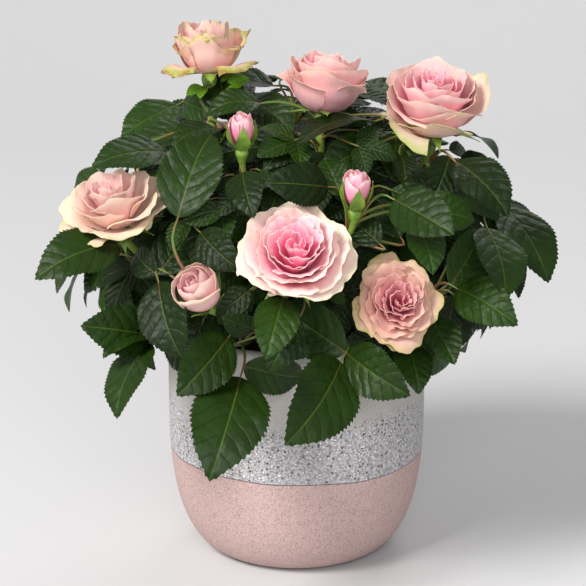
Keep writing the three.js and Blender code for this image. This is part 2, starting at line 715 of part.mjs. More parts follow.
function massStem(stem) {
  const start = massStart(stem);
  const points = stemPoints(stem, start, 1, CANE.steps);
  const radii = points.map((_, i) => stemRadius(start + (1 - start) * i / CANE.steps));
  if (stem.bears) {
    points.push(add(stem.end, times(stem.looks, stem.across * BLOOM_SUNK)));
    radii.push(CANE.tip);
  }
  return limb(points, radii, CANE.sides);
}

function leafSolids(leaf) {
  const end = leaf.leaflets[0];
  const root = massStemPlace(leaf.stem, leaf.root);
  const tip = along(end.base, bladePoint(end, 0, ridgePlace(LEAF_STATIONS), 0), 0.3);
  const knots = leaf.leaflets.length > 3 ? [curvePoint(leaf.stalk, leaf.knot)] : [];
  const points = [root, ...knots, leaf.stalk[3], tip];
  const stalk = limb(points, points.map((_, i) => 1 - 0.4 * i / (points.length - 1)), 3);
  return [stalk, ...leaf.leaflets.map((blade) => bladeSolid(blade, LEAF_STATIONS, LEAF.thick))];
}

// The whole bush.
const stems = allStems();
routeStems(stems);
for (const stem of stems) {
  for (const p of stemPoints(stem, 0, 1, 24)) crowd.twigs.push({ p, stem });
  if (!stem.bears) continue;
  const radius = stem.across * (stem.bears === 'bud' ? BUD_ROOM : BLOOM_ROOM);
  const open = stem.middle[1] < FRONT_HALF ? unit(FRONT) : stem.looks;
  crowd.blooms.push({ stem, middle: stem.middle, radius, open });
}
const leaves = placeLeaves(stems);

const materials = {
  pot: new THREE.MeshStandardMaterial({ color: 0xd9c6c4, roughness: 0.6, metalness: 0 }),
  soil: new THREE.MeshStandardMaterial({ color: 0x2c211a, roughness: 1, metalness: 0 }),
  wood: new THREE.MeshStandardMaterial({ color: 0x6b5136, roughness: 0.9, metalness: 0 }),
  cane: new THREE.MeshStandardMaterial({ color: 0x6f8a3c, roughness: 0.6, metalness: 0 }),
  leaves: new THREE.MeshStandardMaterial({ color: 0x2f4a1c, roughness: 0.45, metalness: 0 }),
};

const group = new THREE.Group();
function addNode(name, solid, material) {
  const mesh = new THREE.Mesh(geometryFrom(solid), material);
  mesh.name = name;
  group.add(mesh);
}

addNode('pot', potSolid(), materials.pot);
addNode('soil', soilSolid(), materials.soil);
addNode('main_stem', mainStemSolid(0, GAP, MAIN_STEM.height), materials.wood);

const clearStem = mainStemSolid(GAP, -4, MAIN_STEM.height + GAP);
for (const stem of stems) addNode(`cane_${stem.name}`, caneSolid(stem, clearStem), materials.cane);

// A leaf that would touch another mass is left out.
const masses = new Map();
const grown = [];
for (const stem of stems) {
  const solids = stem.bears ? [massStem(stem), bloomSolid(stem)] : [massStem(stem)];
  masses.set(stem, solids);
  grown.push({ stem, solid: fuse(solids) });
}
for (const leaf of leaves) {
  const solids = leafSolids(leaf);
  const solid = fuse(solids);
  const hit = grown.find((other) => other.stem !== leaf.stem && !other.solid.intersect(solid).isEmpty());
  if (hit) continue;
  grown.push({ stem: leaf.stem, solid });
  masses.get(leaf.stem).push(...solids);
}
for (const stem of stems) addNode(`mass_${stem.name}`, fuse(masses.get(stem)), materials.leaves);

export default group;
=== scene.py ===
# %% [markdown]
# # A pink rose bush in a two-coloured pot
# The frame holds the CAD solids of a miniature rose: a pot, its soil, a woody stem, green
# canes and one faceted mass of leaves at the end of each cane. This lesson dresses them.
# Everything is worked out in millimetres, as in the source of the solids, and turned into
# metres when a mesh is made. The side that is looked at faces -Y and +Z is up.

# %% Load the frame
import json
import math

import bmesh
import bpy
import numpy as np
from mathutils import Matrix, Quaternion, Vector

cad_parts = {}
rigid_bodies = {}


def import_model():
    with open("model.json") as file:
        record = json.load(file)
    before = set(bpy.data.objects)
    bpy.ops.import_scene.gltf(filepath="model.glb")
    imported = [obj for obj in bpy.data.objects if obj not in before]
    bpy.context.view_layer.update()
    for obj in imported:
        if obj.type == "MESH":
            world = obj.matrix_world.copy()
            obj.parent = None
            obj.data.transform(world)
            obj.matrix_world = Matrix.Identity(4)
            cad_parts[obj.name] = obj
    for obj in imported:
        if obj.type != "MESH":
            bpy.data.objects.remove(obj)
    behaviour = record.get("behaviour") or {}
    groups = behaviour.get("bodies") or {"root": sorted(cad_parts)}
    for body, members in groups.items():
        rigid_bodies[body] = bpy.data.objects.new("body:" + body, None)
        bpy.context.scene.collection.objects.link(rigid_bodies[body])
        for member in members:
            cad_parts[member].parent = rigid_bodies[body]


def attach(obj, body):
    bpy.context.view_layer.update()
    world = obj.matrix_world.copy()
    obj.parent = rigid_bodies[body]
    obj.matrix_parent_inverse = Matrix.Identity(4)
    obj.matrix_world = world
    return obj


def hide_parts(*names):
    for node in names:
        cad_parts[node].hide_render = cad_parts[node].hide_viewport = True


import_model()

MM = 0.001
SCENE = bpy.context.scene
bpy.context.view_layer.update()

# %% [markdown]
# ## Camera, light and stage
# The bush stands on a table and is seen from a little above, through a long lens, which
# keeps the pot's sides upright. One big soft light stands to the left and in front, the
# way a window does. A weak one low in front keeps the hearts of the flowers readable, and
# a weaker one behind lights the far rims of the leaves. Small lamps would cut hard shadows
# between the petals, so each lamp is a wide disc.

# %% Camera
def show(name, data):
    """Puts an object with this camera, lamp or mesh into the scene."""
    thing = bpy.data.objects.new(name, data)
    SCENE.collection.objects.link(thing)
    return thing


VIEW_DOWN = math.radians(16.5)
VIEW_DISTANCE = 1.4
LOOKED_AT = (-0.002, 0.0, 0.148)
LONG_LENS = 153.0

camera_data = bpy.data.cameras.new("view")
camera_data.lens = LONG_LENS
camera_data.sensor_width = 36.0
camera_data.clip_end = 30.0
camera = show("view", camera_data)
camera.location = (LOOKED_AT[0],
                   LOOKED_AT[1] - VIEW_DISTANCE * math.cos(VIEW_DOWN),
                   LOOKED_AT[2] + VIEW_DISTANCE * math.sin(VIEW_DOWN))
camera.rotation_euler = (math.pi / 2 - VIEW_DOWN, 0.0, 0.0)
SCENE.camera = camera
print("camera at", [round(c, 3) for c in camera.location])

# %% Lights: name, place, where it aims, width in metres, watts, colour
LIGHTS = [
    ("window_light", (-1.8, -1.8, 2.4), (0, 0, 0.16), 1.35, 146.0, (1.0, 0.985, 0.965)),
    ("fill_light", (0.2, -2.1, 1.1), (0, 0, 0.2), 1.0, 22.0, (0.97, 0.985, 1.0)),
    ("back_light", (0.5, 1.5, 1.5), (0, 0, 0.2), 1.0, 9.0, (1.0, 1.0, 1.0)),
]
ROOM_COLOUR = (0.93, 0.94, 0.96, 1.0)
ROOM_STRENGTH = 0.44


def soft_light(name, place, aim, width, watts, colour):
    data = bpy.data.lights.new(name, "AREA")
    data.shape = "DISK"
    data.size = width
    data.energy = watts
    data.color = colour
    light = show(name, data)
    light.location = place
    light.rotation_euler = (Vector(aim) - Vector(place)).to_track_quat("-Z", "Y").to_euler()


for row in LIGHTS:
    soft_light(*row)
world = bpy.data.worlds.new("studio")
world.use_nodes = True
studio = world.node_tree.nodes["Background"]
studio.inputs["Color"].default_value = ROOM_COLOUR
studio.inputs["Strength"].default_value = ROOM_STRENGTH
SCENE.world = world
print(len(LIGHTS), "lamps in a pale room")

# %% [markdown]
# ## The table
# The pot stands on something pale that shows no edge. A plane that ends behind the pot
# would show one, so the floor is one sheet that bends up into a wall far behind. It is no
# part of the object. As the first mesh here, it brings the helpers for meshes and finishes.

# %% Helpers that turn plain lists into mesh objects, and make a plain finish
def mesh_object(name, vertices, faces):
    mesh = bpy.data.meshes.new(name)
    mesh.from_pydata([tuple(v) for v in vertices], [], [tuple(f) for f in faces])
    mesh.update()
    mesh.polygons.foreach_set("use_smooth", [True] * len(mesh.polygons))
    return show(name, mesh)


def count_triangles(piece):
    return sum(len(p.vertices) - 2 for p in piece.data.polygons)


def new_material(name, colour, roughness, **sockets):
    skin = bpy.data.materials.new(name)
    skin.use_nodes = True
    shader = skin.node_tree.nodes["Principled BSDF"]
    shader.inputs["Base Color"].default_value = (*colour, 1.0)
    shader.inputs["Roughness"].default_value = roughness
    for label, value in sockets.items():
        shader.inputs[label.replace("_", " ")].default_value = value
    return skin

# %% Floor with a curved back, in metres
FLOOR = {"half_width": 4.0, "front": -3.0, "bend_from": 1.0, "bend": 1.6, "top": 4.0, "steps": 12}


def make_stage():
    bend_from, bend = FLOOR["bend_from"], FLOOR["bend"]
    profile = [(FLOOR["front"], 0.0), (bend_from, 0.0)]
    for i in range(1, FLOOR["steps"] + 1):
        turn = math.pi / 2 * i / FLOOR["steps"]
        profile.append((bend_from + bend * math.sin(turn), bend - bend * math.cos(turn)))
    profile.append((bend_from + bend, FLOOR["top"]))
    vertices = [(x, y, z) for y, z in profile for x in (-FLOOR["half_width"], FLOOR["half_width"])]
    faces = [(2 * i, 2 * i + 1, 2 * i + 3, 2 * i + 2) for i in range(len(profile) - 1)]
    return mesh_object("floor", vertices, faces)


floor = make_stage()
floor.data.materials.append(new_material("pale_floor", (0.55, 0.545, 0.55), 0.75))
print("floor has", count_triangles(floor), "triangles")

# %% [markdown]
# ## How the bush grows
# A miniature rose is a few cuttings in one pot: a short woody stem, green canes that fan
# out of it, and on every cane either a flower or a tuft of leaves. The solids were made by
# a rule from a table of flowers and a dome that the leaf joints lie on. The same rule is
# written here again, so the fine leaves land where the solids' leaves are. It could be
# sculpted by hand, but a rule keeps the flowers, stalks and leaves joined whatever moves.

# %% Sizes of the bush, as in the solids
POT = {"radius": 72.5, "height": 135.0, "foot": 42.0, "bend": 90.0, "roundness": 2.8,
       "wall": 5.5, "floor": 7.0}
SOIL_TOP = 120.0
MAIN_STEM = {"height": 30.0, "base": 11.0, "top": 6.5, "lean": (2.5, -1.5), "flare": 2.5}
CANE_TIERS = (5.0, 13.0, 21.0)
CANE_SHARE = 0.42
ROUTE = {"first": 0.38, "last": 0.3, "leaves": 0.35, "ends": 0.55, "sunk": 0.5}
CROWN_CENTRE = np.array((0.0, 0.0, 180.0))
CROWN_REACH = np.array((122.0, 108.0, 95.0))
CROWN_TIPS = np.array((145.0, 128.0, 90.0))
LIGHT_FROM = np.array((-0.2, -0.8, 0.55))
FRONT = np.array((0.0, -0.96, 0.28))

# %% [markdown]
# ## What is read off the photo
# Nine flowers and buds show in front, and so do some thirty leaves. They could be left to
# chance like the rest, but they make the likeness, so each has a row of its own: where it
# is, which way it points, and how big it is. Bearings are counted from +X towards +Y.

# %% The flowers: name, kind, middle, the way it looks (bearing, elevation), width
FLOWERING = [
    ("upper_left", "cup", (-51, -8, 288), (120, 84), 47),
    ("upper_middle", "cup", (16, -25, 272), (40, 80), 48),
    ("upper_right", "cup", (76, -28, 264), (-85, 72), 60),
    ("left", "bloom", (-98, -48, 211), (-125, 68), 58),
    ("middle", "bloom", (-1, -96, 202), (-92, 48), 64),
    ("front_right", "bloom", (52, -95, 173), (-84, 32), 54),
    ("left_front", "half", (-54, -97, 180), (-130, 48), 27),
    ("left_bud", "bud", (-29, -60, 255), (-90, 82), 15),
    ("right_bud", "bud", (31, -88, 230), (-70, 80), 16),
]
BLOOM_DEPTH = {"cup": 0.36, "bloom": 0.34, "half": 0.42, "bud": 0.72}
LEAFY = [
    ("right", (104, -12, 206)),
    ("lower_left", (-84, -58, 158)),
    ("lower_front", (-36, -84, 146)),
    ("lower_middle", (20, -86, 150)),
    ("lower_right", (82, -62, 168)),
    ("top", (-4, 22, 256)),
]
BACK_STEMS = [("far_right", "half"), ("back_right", "bloom"), ("back", "bud"),
              ("back_left", "bloom"), ("far_left", "half")]
BACK = {"first": 18, "step": 36, "out": 0.82, "height": (212, 226), "looks_up": 52,
        "across": {"half": 30, "bloom": 56, "bud": 15}}
LOW_STEMS = ["low_right", "low_back_right", "low_back_left", "low_left"]
LOW = {"first": 8, "step": 54, "out": 0.74, "height": 158}

# %% The leaves that show best: where the leaflets meet, then bearing, elevation, length, roll
SHOWN_LEAVES = [
    ((-63, 18, 254), (-144, -19, 44, 0), (-52, -4, 28, 30)),
    ((-36, -34, 252), (101, 32, 42, 0)),
    ((-40, -26, 249), (-136, -4, 36, 20)),
    ((-28, 5, 259), (-49, -19, 42, 0)),
    ((4, -38, 248), (-126, -17, 36, 0)),
    ((-63, -34, 237), (-151, 0, 52, 24)),
    ((-64, -86, 209), (63, 47, 60, 0)),
    ((-90, -68, 197), (-147, -11, 56, 22)),
    ((-108, -12, 166), (-63, -23, 46, 0)),
    ((-77, -74, 146), (-118, -39, 52, 34), (-149, 16, 44, 30), (-138, -4, 34, 74)),
    ((-74, -82, 183), (-67, -48, 50, 0), (122, 16, 26, 0), (52, 33, 38, 0)),
    ((-53, -79, 207), (-43, -28, 36, 0)),
    ((-33, -90, 154), (-130, -29, 50, 0)),
    ((-28, -92, 135), (-106, -35, 72, 0), (24, -19, 38, 0)),
    ((26, -97, 144), (-120, -28, 68, 0), (-40, -20, 44, 0), (147, 24, 47, 0)),
    ((-6, -97, 178), (-108, -41, 42, 0)),
    ((-21, -97, 156), (-140, 28, 26, 0)),
    ((57, -65, 142), (-76, -32, 38, 0)),
    ((70, -75, 159), (-65, -33, 36, 0)),
    ((82, -69, 173), (-42, -16, 46, 0), (49, 39, 40, 0)),
    ((101, -48, 203), (-78, -33, 54, 0)),
    ((111, -21, 208), (-57, -39, 58, 0)),
    ((82, -42, 237), (-48, -28, 50, 0), (-121, -47, 30, 0)),
    ((85, 12, 237), (-41, -9, 36, -40)),
    ((47, -85, 226), (-45, -14, 48, 0)),
    ((62, -80, 212), (-73, -36, 36, 0)),
    ((54, -23, 249), (-98, -44, 34, 0)),
    ((46, -36, 256), (-150, -9, 54, 55)),
    ((46, -38, 244), (-145, -15, 42, 0)),
    ((20, -75, 228), (-149, 11, 42, 0)),
    ((24, -79, 222), (116, 38, 30, 0)),
    ((56, -80, 200), (117, 26, 34, 0)),
    ((45, -95, 201), (127, 17, 30, 0)),
    ((-29, -72, 238), (-79, -28, 36, 0)),
]

# %% [markdown]
# ## The rule for all the other leaves
# On the plant a leaf sits where its stem found light, so the joints lie in shells near the
# outside of a dome. Scattering them by chance alone leaves heaps and holes. Here the
# joints of a shell follow a spiral with the golden angle, which spreads them evenly, and a
# seeded dice only shifts each one a little.

# %% How the other leaves are laid on the dome: shells of reach, tries and length, then habits
LEAF_SEED = 20261
LAYER_TWIST = 47
LAYERS = [(0.87, 220, 50), (0.74, 160, 46), (0.6, 70, 40)]
LOWEST = -0.45
LIE = {"out": 0.45, "flatter": 0.8, "down": 0.62, "swing": 1.4, "jitter": 0.12, "stretch": 0.26}
ATTEMPTS = [
    (0, 1, 5), (0, 1, 3), (0.6, 0.95, 3), (-0.6, 0.95, 3), (1.3, 0.85, 3), (-1.3, 0.85, 3), (0.3, 0.7, 3),
    (-0.4, 1, 1), (0.5, 0.95, 1), (1.2, 0.9, 1), (-1.2, 0.9, 1), (0, 0.75, 1),
]
GOLDEN_ANGLE = 137.508
STALK = 27
LONGEST_STALK = 62
STALK_BEND = 0.35
PETIOLULE = 0.1
STAGGER = 0.5
TURNS_BACK = 0.1
FACE_PULL = 0.9
FACE_REACH = 0.35
FACE_SHOWN = 1.4
FIRST_PAIR = (0.8, 58)
SECOND_PAIR = (0.62, 70)
SECOND_BACK = 0.45
SIDE_TILT = -0.15
ROOT_STEP = 0.04
ROOT_SHIFT = 0.0037
ROOT_SHIFTS = 11
ROOT_LAST = 0.97
CLIMB_COST = 0.8
LEAVES_CANE = 1.2
KNOT_LOWEST = 0.4
HALF_WIDTH = 0.31
ARCH = (0.05, 0.09, 0.07, 0.12)
FOLD = (0.16, 0.08, 0.22, 0.12)
CLEAR = {"leaf": 2.4, "twig": 1.8, "pot": 3, "bloom": 1}
OPEN_BEFORE_BLOOM = 60
BLOOM_ROOM = 0.52
BUD_ROOM = 0.8
FRONT_HALF = 20

# %% [markdown]
# ## Stems that fan out of the woody foot
# A cane leaves the stump sideways and bends up to its flower. A straight rod would look
# dead, so each stem is one smooth curve with four control points. The steepest canes start
# highest on the stump, as on the plant, and within a tier they are spread round it.

# %% Vector helpers and a seeded dice
def vec(*c):
    return np.array(c, float)


def unit(a):
    return a / math.sqrt(a[0] * a[0] + a[1] * a[1] + a[2] * a[2])


def cross(a, b):
    return vec(a[1] * b[2] - a[2] * b[1], a[2] * b[0] - a[0] * b[2], a[0] * b[1] - a[1] * b[0])


def heading(bearing, elevation):
    a, e = math.radians(bearing), math.radians(elevation)
    return vec(math.cos(e) * math.cos(a), math.cos(e) * math.sin(a), math.sin(e))


def turned(v, axis, degrees):
    c, s = math.cos(math.radians(degrees)), math.sin(math.radians(degrees))
    return v * c + cross(axis, v) * s + axis * (float(axis @ v) * (1 - c))


def square(a, b):
    return unit(a - b * float(a @ b))


def make_dice(seed):
    state = seed

    def roll():
        nonlocal state
        state = (state * 1664525 + 1013904223) & 0xFFFFFFFF
        return state / 4294967296

    return roll


def curve_point(curve, t):
    s = 1 - t
    return s * s * s * curve[0] + 3 * s * s * t * curve[1] + 3 * s * t * t * curve[2] + t * t * t * curve[3]


def curve_heading(curve, t):
    s = 1 - t
    first, middle, last = curve[1] - curve[0], curve[2] - curve[1], curve[3] - curve[2]
    return unit(s * s * first + 2 * s * t * middle + t * t * last)

# %% Stems: where each one ends, and its curve from the woody stem
def place_on_dome(bearing, out, height):
    level = heading(bearing, 0)
    return vec(level[0] * CROWN_REACH[0] * out, level[1] * CROWN_REACH[1] * out, height)


def all_stems():
    stems = []
    for name, bears, middle, looks, across in FLOWERING:
        stems.append({"name": name, "bears": bears, "middle": vec(*middle),
                      "looks": heading(*looks), "across": across})
    for i, (name, bears) in enumerate(BACK_STEMS):
        bearing = BACK["first"] + i * BACK["step"]
        middle = place_on_dome(bearing, BACK["out"], BACK["height"][i % 2])
        stems.append({"name": name, "bears": bears, "middle": middle,
                      "looks": heading(bearing, BACK["looks_up"]), "across": BACK["across"][bears]})
    for stem in stems:
        stem["end"] = stem["middle"] - stem["looks"] * (stem["across"] * BLOOM_DEPTH[stem["bears"]])
    for i, name in enumerate(LOW_STEMS):
        end = place_on_dome(LOW["first"] + i * LOW["step"], LOW["out"], LOW["height"])
        stems.append({"name": name, "end": end})
    stems += [{"name": name, "end": vec(*end)} for name, end in LEAFY]
    for number, stem in enumerate(stems):
        x, y, z = stem["end"]
        stem["number"] = number
        stem["level"] = math.hypot(x, y)
        stem["bearing"] = math.degrees(math.atan2(y, x))
        stem["steepness"] = (z - SOIL_TOP) / stem["level"]
    return stems


def main_stem_axis(height):
    share = height / MAIN_STEM["height"]
    return vec(MAIN_STEM["lean"][0] * share, MAIN_STEM["lean"][1] * share, SOIL_TOP + height)


def main_stem_radius(height):
    share = height / MAIN_STEM["height"]
    wider = MAIN_STEM["base"] - MAIN_STEM["top"]
    return MAIN_STEM["top"] + wider * max(0.0, 1 - share) ** MAIN_STEM["flare"]


def route_stems(stems):
    by_steepness = sorted(stems, key=lambda stem: stem["steepness"])
    tier_size = math.ceil(len(stems) / len(CANE_TIERS))
    for tier, height in enumerate(CANE_TIERS):
        chosen = by_steepness[tier * tier_size:(tier + 1) * tier_size]
        group = sorted(chosen, key=lambda stem: stem["bearing"])
        step = 360 / len(group)
        turn = sum(stem["bearing"] - i * step for i, stem in enumerate(group)) / len(group)
        for i, stem in enumerate(group):
            out = heading(turn + i * step, 0)
            start = main_stem_axis(height) + out * (main_stem_radius(height) * ROUTE["sunk"])
            end = stem["end"]
            reach = float(np.linalg.norm(end - start))
            leaves = unit(vec(out[0], out[1], ROUTE["leaves"] + (end[2] - start[2]) / reach))
            if "looks" in stem:
                arrives = stem["looks"]
            else:
                arrives = unit(vec(end[0], end[1], ROUTE["ends"] * stem["level"]))
            stem["curve"] = [start, start + leaves * (reach * ROUTE["first"]),
                             end - arrives * (reach * ROUTE["last"]), end]


STEMS = all_stems()
route_stems(STEMS)
print(len(STEMS), "stems")

# %% [markdown]
# ## Leaves that keep out of each other's way
# A rose leaf is a stalk with an end leaflet and one or two side pairs. The rule tries a
# place on the dome, and a leaf that would touch a limb, a bloom, the pot or another leaf
# is swung, shortened or skipped. Testing every corner against every leaf is slow in plain
# loops, so the leaves that are already there are kept as arrays and tested in one go.

# %% What is already there
FRAME_KEYS = ("base", "along", "side", "face")
NUMBER_KEYS = ("length", "arch", "fold")


class Crowd:
    """Blades as frames with sample points, limbs as points, blooms as balls."""

    def __init__(self, room=6000, twig_room=40000):
        self.blades = {key: np.zeros((room, 3)) for key in (*FRAME_KEYS, "heart")}
        self.numbers = {key: np.zeros(room) for key in NUMBER_KEYS}
        self.samples = np.zeros((room, 18, 3))
        self.count = 0
        self.twigs = np.zeros((twig_room, 3))
        self.twig_stem = np.zeros(twig_room, int)
        self.twig_count = 0
        self.blooms = []

    def add_twig(self, point, stem):
        self.twigs[self.twig_count] = point
        self.twig_stem[self.twig_count] = stem
        self.twig_count += 1

    def add_blade(self, blade):
        n = self.count
        for key in FRAME_KEYS:
            self.blades[key][n] = blade[key]
        for key in NUMBER_KEYS:
            self.numbers[key][n] = blade[key]
        self.blades["heart"][n] = blade_heart(blade)
        self.samples[n] = blade_samples(blade)
        self.count += 1


def blade_height(arch, fold, x, y):
    return arch * 4 * y * (1 - y) + fold * np.abs(x)


def blade_points(blade, x, y):
    up = blade_height(blade["arch"], blade["fold"], x, y) * blade["length"]
    flat = np.outer(y * blade["length"], blade["along"]) + np.outer(x * blade["length"], blade["side"])
    return blade["base"] + flat + np.outer(up, blade["face"])


def blade_heart(blade):
    return blade_points(blade, np.array([0.0]), np.array([0.5]))[0]


def edge_share(y):
    return np.clip(np.minimum(np.minimum(1.0, 3.5 * y + 0.1), 2.4 * (1 - y) + 0.1), 0.0, None)


SAMPLE_Y = np.repeat([0.1, 0.27, 0.44, 0.61, 0.78, 0.96], 3)
SAMPLE_X = np.tile([-0.9, 0.0, 0.9], 6) * HALF_WIDTH * edge_share(SAMPLE_Y)


def blade_samples(blade):
    return blade_points(blade, SAMPLE_X, SAMPLE_Y)


def near_blades(points, base, along, side, face, length, arch, fold, gap):
    """For every point and blade, whether the point is closer to the blade than the gap."""
    q = points[:, None, :] - base[None, :, :]
    y = np.einsum("pbc,bc->pb", q, along) / length
    x = np.einsum("pbc,bc->pb", q, side) / length
    z = np.einsum("pbc,bc->pb", q, face) / length
    edge = gap / length
    inside = (y >= -edge) & (y <= 1 + edge) & (np.abs(x) <= HALF_WIDTH * edge_share(y) + edge)
    return inside & (np.abs(z - blade_height(arch, fold, x, y)) < edge)

# %% One leaf: stalk, end leaflet and side pairs
def leaf_face(joint, way, roll):
    out = unit((joint - CROWN_CENTRE) / CROWN_REACH)
    if roll is not None:
        return turned(square(out + FRONT * FACE_SHOWN, way), way, roll)
    light = unit(LIGHT_FROM)
    pull = FACE_PULL * max(0.0, FACE_REACH + float(out @ light))
    return square(out + light * pull, way)


def make_leaflet(base, way, face, length, kind):
    return {"base": base, "along": way, "side": cross(way, face), "face": face, "length": length,
            "kind": kind, "arch": ARCH[kind % 4], "fold": FOLD[kind % 4]}


def make_leaf(stem, joint, way, length, count, kind, roll=None):
    face = leaf_face(joint, way, roll)
    root = None
    t = CANE_SHARE + ROOT_STEP + ROOT_SHIFT * (kind % ROOT_SHIFTS)
    while t < ROOT_LAST:
        p = curve_point(stem["curve"], t)
        away = float(np.linalg.norm(joint - p))
        cost = abs(away - STALK) + CLIMB_COST * max(0.0, p[2] - joint[2])
        if root is None or cost < root[3]:
            root = (t, p, away, cost)
        t += ROOT_STEP
    start, p, reach = root[0], root[1], root[2]
    leaves = unit(curve_heading(stem["curve"], start) + unit(joint - p) * LEAVES_CANE)
    handle = reach * STALK_BEND
    stalk = [p, p + leaves * handle, joint - way * handle, joint]
    petiolule = length * PETIOLULE
    leaflets = [make_leaflet(joint + way * petiolule, way, face, length - petiolule, kind)]
    knot = curve_point(stalk, max(KNOT_LOWEST, 1 - SECOND_BACK * length / reach))
    back = unit((knot if count >= 5 else p) - joint)
    pairs = [(*FIRST_PAIR, joint), (*SECOND_PAIR, knot)][:(count - 1) // 2]
    for share, spread, place in pairs:
        for hand in (-1, 1):
            swung = turned(way, face, hand * spread)
            tilt = square(face + way * SIDE_TILT, swung)
            base = place + back * (STAGGER * (hand + 1))
            leaflets.append(make_leaflet(base, swung, tilt, length * share, kind + 1 + hand))
    return {"stem": stem["number"], "stalk": stalk, "reach": reach, "leaflets": leaflets,
            "forward": -float(back @ way)}


def shown_leaf(stem, joint, rows, kind):
    bearing, elevation, long, roll = rows[0]
    leaf = make_leaf(stem, joint, heading(bearing, elevation), long, 1, kind, roll)
    back = unit(leaf["stalk"][0] - joint)
    for i, (bearing, elevation, long, roll) in enumerate(rows[1:]):
        way = heading(bearing, elevation)
        place = joint + back * (STAGGER * (i + 1))
        leaf["leaflets"].append(make_leaflet(place, way, leaf_face(joint, way, roll), long, kind + i + 1))
    return leaf

# %% Whether points come near the pot, a bloom or the crown's end
def near_pot(points):
    low = points[:, 2] < POT["height"] + CLEAR["pot"]
    return low & (np.hypot(points[:, 0], points[:, 1]) < POT["radius"] + CLEAR["pot"])


def near_bloom(points, bloom):
    q = points - bloom["middle"]
    close = np.linalg.norm(q, axis=1) < bloom["radius"] + CLEAR["bloom"]
    ahead = q @ bloom["open"]
    beside = np.linalg.norm(q - np.outer(ahead, bloom["open"]), axis=1) < bloom["radius"]
    return close | ((ahead >= 0) & (ahead <= OPEN_BEFORE_BLOOM) & beside)


def inside_crown(leaf):
    tips = [blade["base"] + blade["along"] * blade["length"] for blade in leaf["leaflets"]]
    return all(np.linalg.norm((tip - CROWN_CENTRE) / CROWN_TIPS) < 1 for tip in tips)


# %% Whether a leaf is clear of everything that is there already
NEARBY = 1.2
BLADES_MEET = 0.55


def leaf_is_clear(crowd, leaf, gap):
    n = crowd.count
    blades, numbers = crowd.blades, crowd.numbers
    twigs, owner = crowd.twigs[:crowd.twig_count], crowd.twig_stem[:crowd.twig_count]
    stalk = np.array([curve_point(leaf["stalk"], i / 8) for i in range(2, 9)])
    if near_pot(stalk).any():
        return False
    for bloom in crowd.blooms:
        if bloom["stem"] != leaf["stem"] and near_bloom(stalk, bloom).any():
            return False
    away = np.linalg.norm(stalk[:, None, :] - twigs[None, owner != leaf["stem"], :], axis=2)
    if (away < CLEAR["twig"] + 1).any():
        return False
    hearts = blades["heart"][:n]
    lengths = numbers["length"][:n]

    def frames(chosen):
        return ([blades[key][:n][chosen] for key in FRAME_KEYS]
                + [numbers[key][:n][chosen] for key in NUMBER_KEYS])

    close = np.linalg.norm(hearts - stalk.mean(axis=0), axis=1) < lengths * NEARBY + leaf["reach"]
    if close.any():
        found = near_blades(stalk, *frames(close), CLEAR["twig"])
        away = np.linalg.norm(stalk[:, None, :] - blades["base"][:n][close][None], axis=2)
        if (found & (away < lengths[close] * NEARBY)).any():
            return False
    for blade in leaf["leaflets"]:
        points = blade_samples(blade)
        if near_pot(points).any() or any(near_bloom(points, bloom).any() for bloom in crowd.blooms):
            return False
        heart = blade_heart(blade)
        close = np.linalg.norm(hearts - heart, axis=1) <= (lengths + blade["length"]) * BLADES_MEET + gap
        own = [blade[key][None, :] for key in FRAME_KEYS]
        own += [np.array([blade[key]]) for key in NUMBER_KEYS]
        if close.any():
            if near_blades(points, *frames(close), gap).any():
                return False
            if near_blades(crowd.samples[:n][close].reshape(-1, 3), *own, gap).any():
                return False
        close = np.linalg.norm(twigs - heart, axis=1) < blade["length"]
        if close.any() and near_blades(twigs[close], *own, CLEAR["twig"]).any():
            return False
    return True

# %% The stems and blooms are there before any leaf
STEM_STEPS = 24
TRACK_STEP = 0.06
TRACK_POINTS = 9

crowd = Crowd()
for stem in STEMS:
    for i in range(STEM_STEPS + 1):
        crowd.add_twig(curve_point(stem["curve"], i / STEM_STEPS), stem["number"])
    if "bears" in stem:
        radius = stem["across"] * (BUD_ROOM if stem["bears"] == "bud" else BLOOM_ROOM)
        faces = unit(FRONT) if stem["middle"][1] < FRONT_HALF else stem["looks"]
        crowd.blooms.append({"stem": stem["number"], "middle": stem["middle"],
                             "radius": radius, "open": faces})
print(crowd.twig_count, "points of stems and", len(crowd.blooms), "blooms to keep clear of")

STEM_TRACKS = np.array([[curve_point(stem["curve"], CANE_SHARE + TRACK_STEP * k)
                         for k in range(1, TRACK_POINTS + 1)] for stem in STEMS])


def nearest_stem(p):
    away = np.linalg.norm(STEM_TRACKS - p, axis=2).min(axis=1)
    return STEMS[int(away.argmin())]


def accept(leaves, leaf):
    leaves.append(leaf)
    for blade in leaf["leaflets"]:
        crowd.add_blade(blade)
    for i in range(1, 9):
        crowd.add_twig(curve_point(leaf["stalk"], i / 8), leaf["stem"])


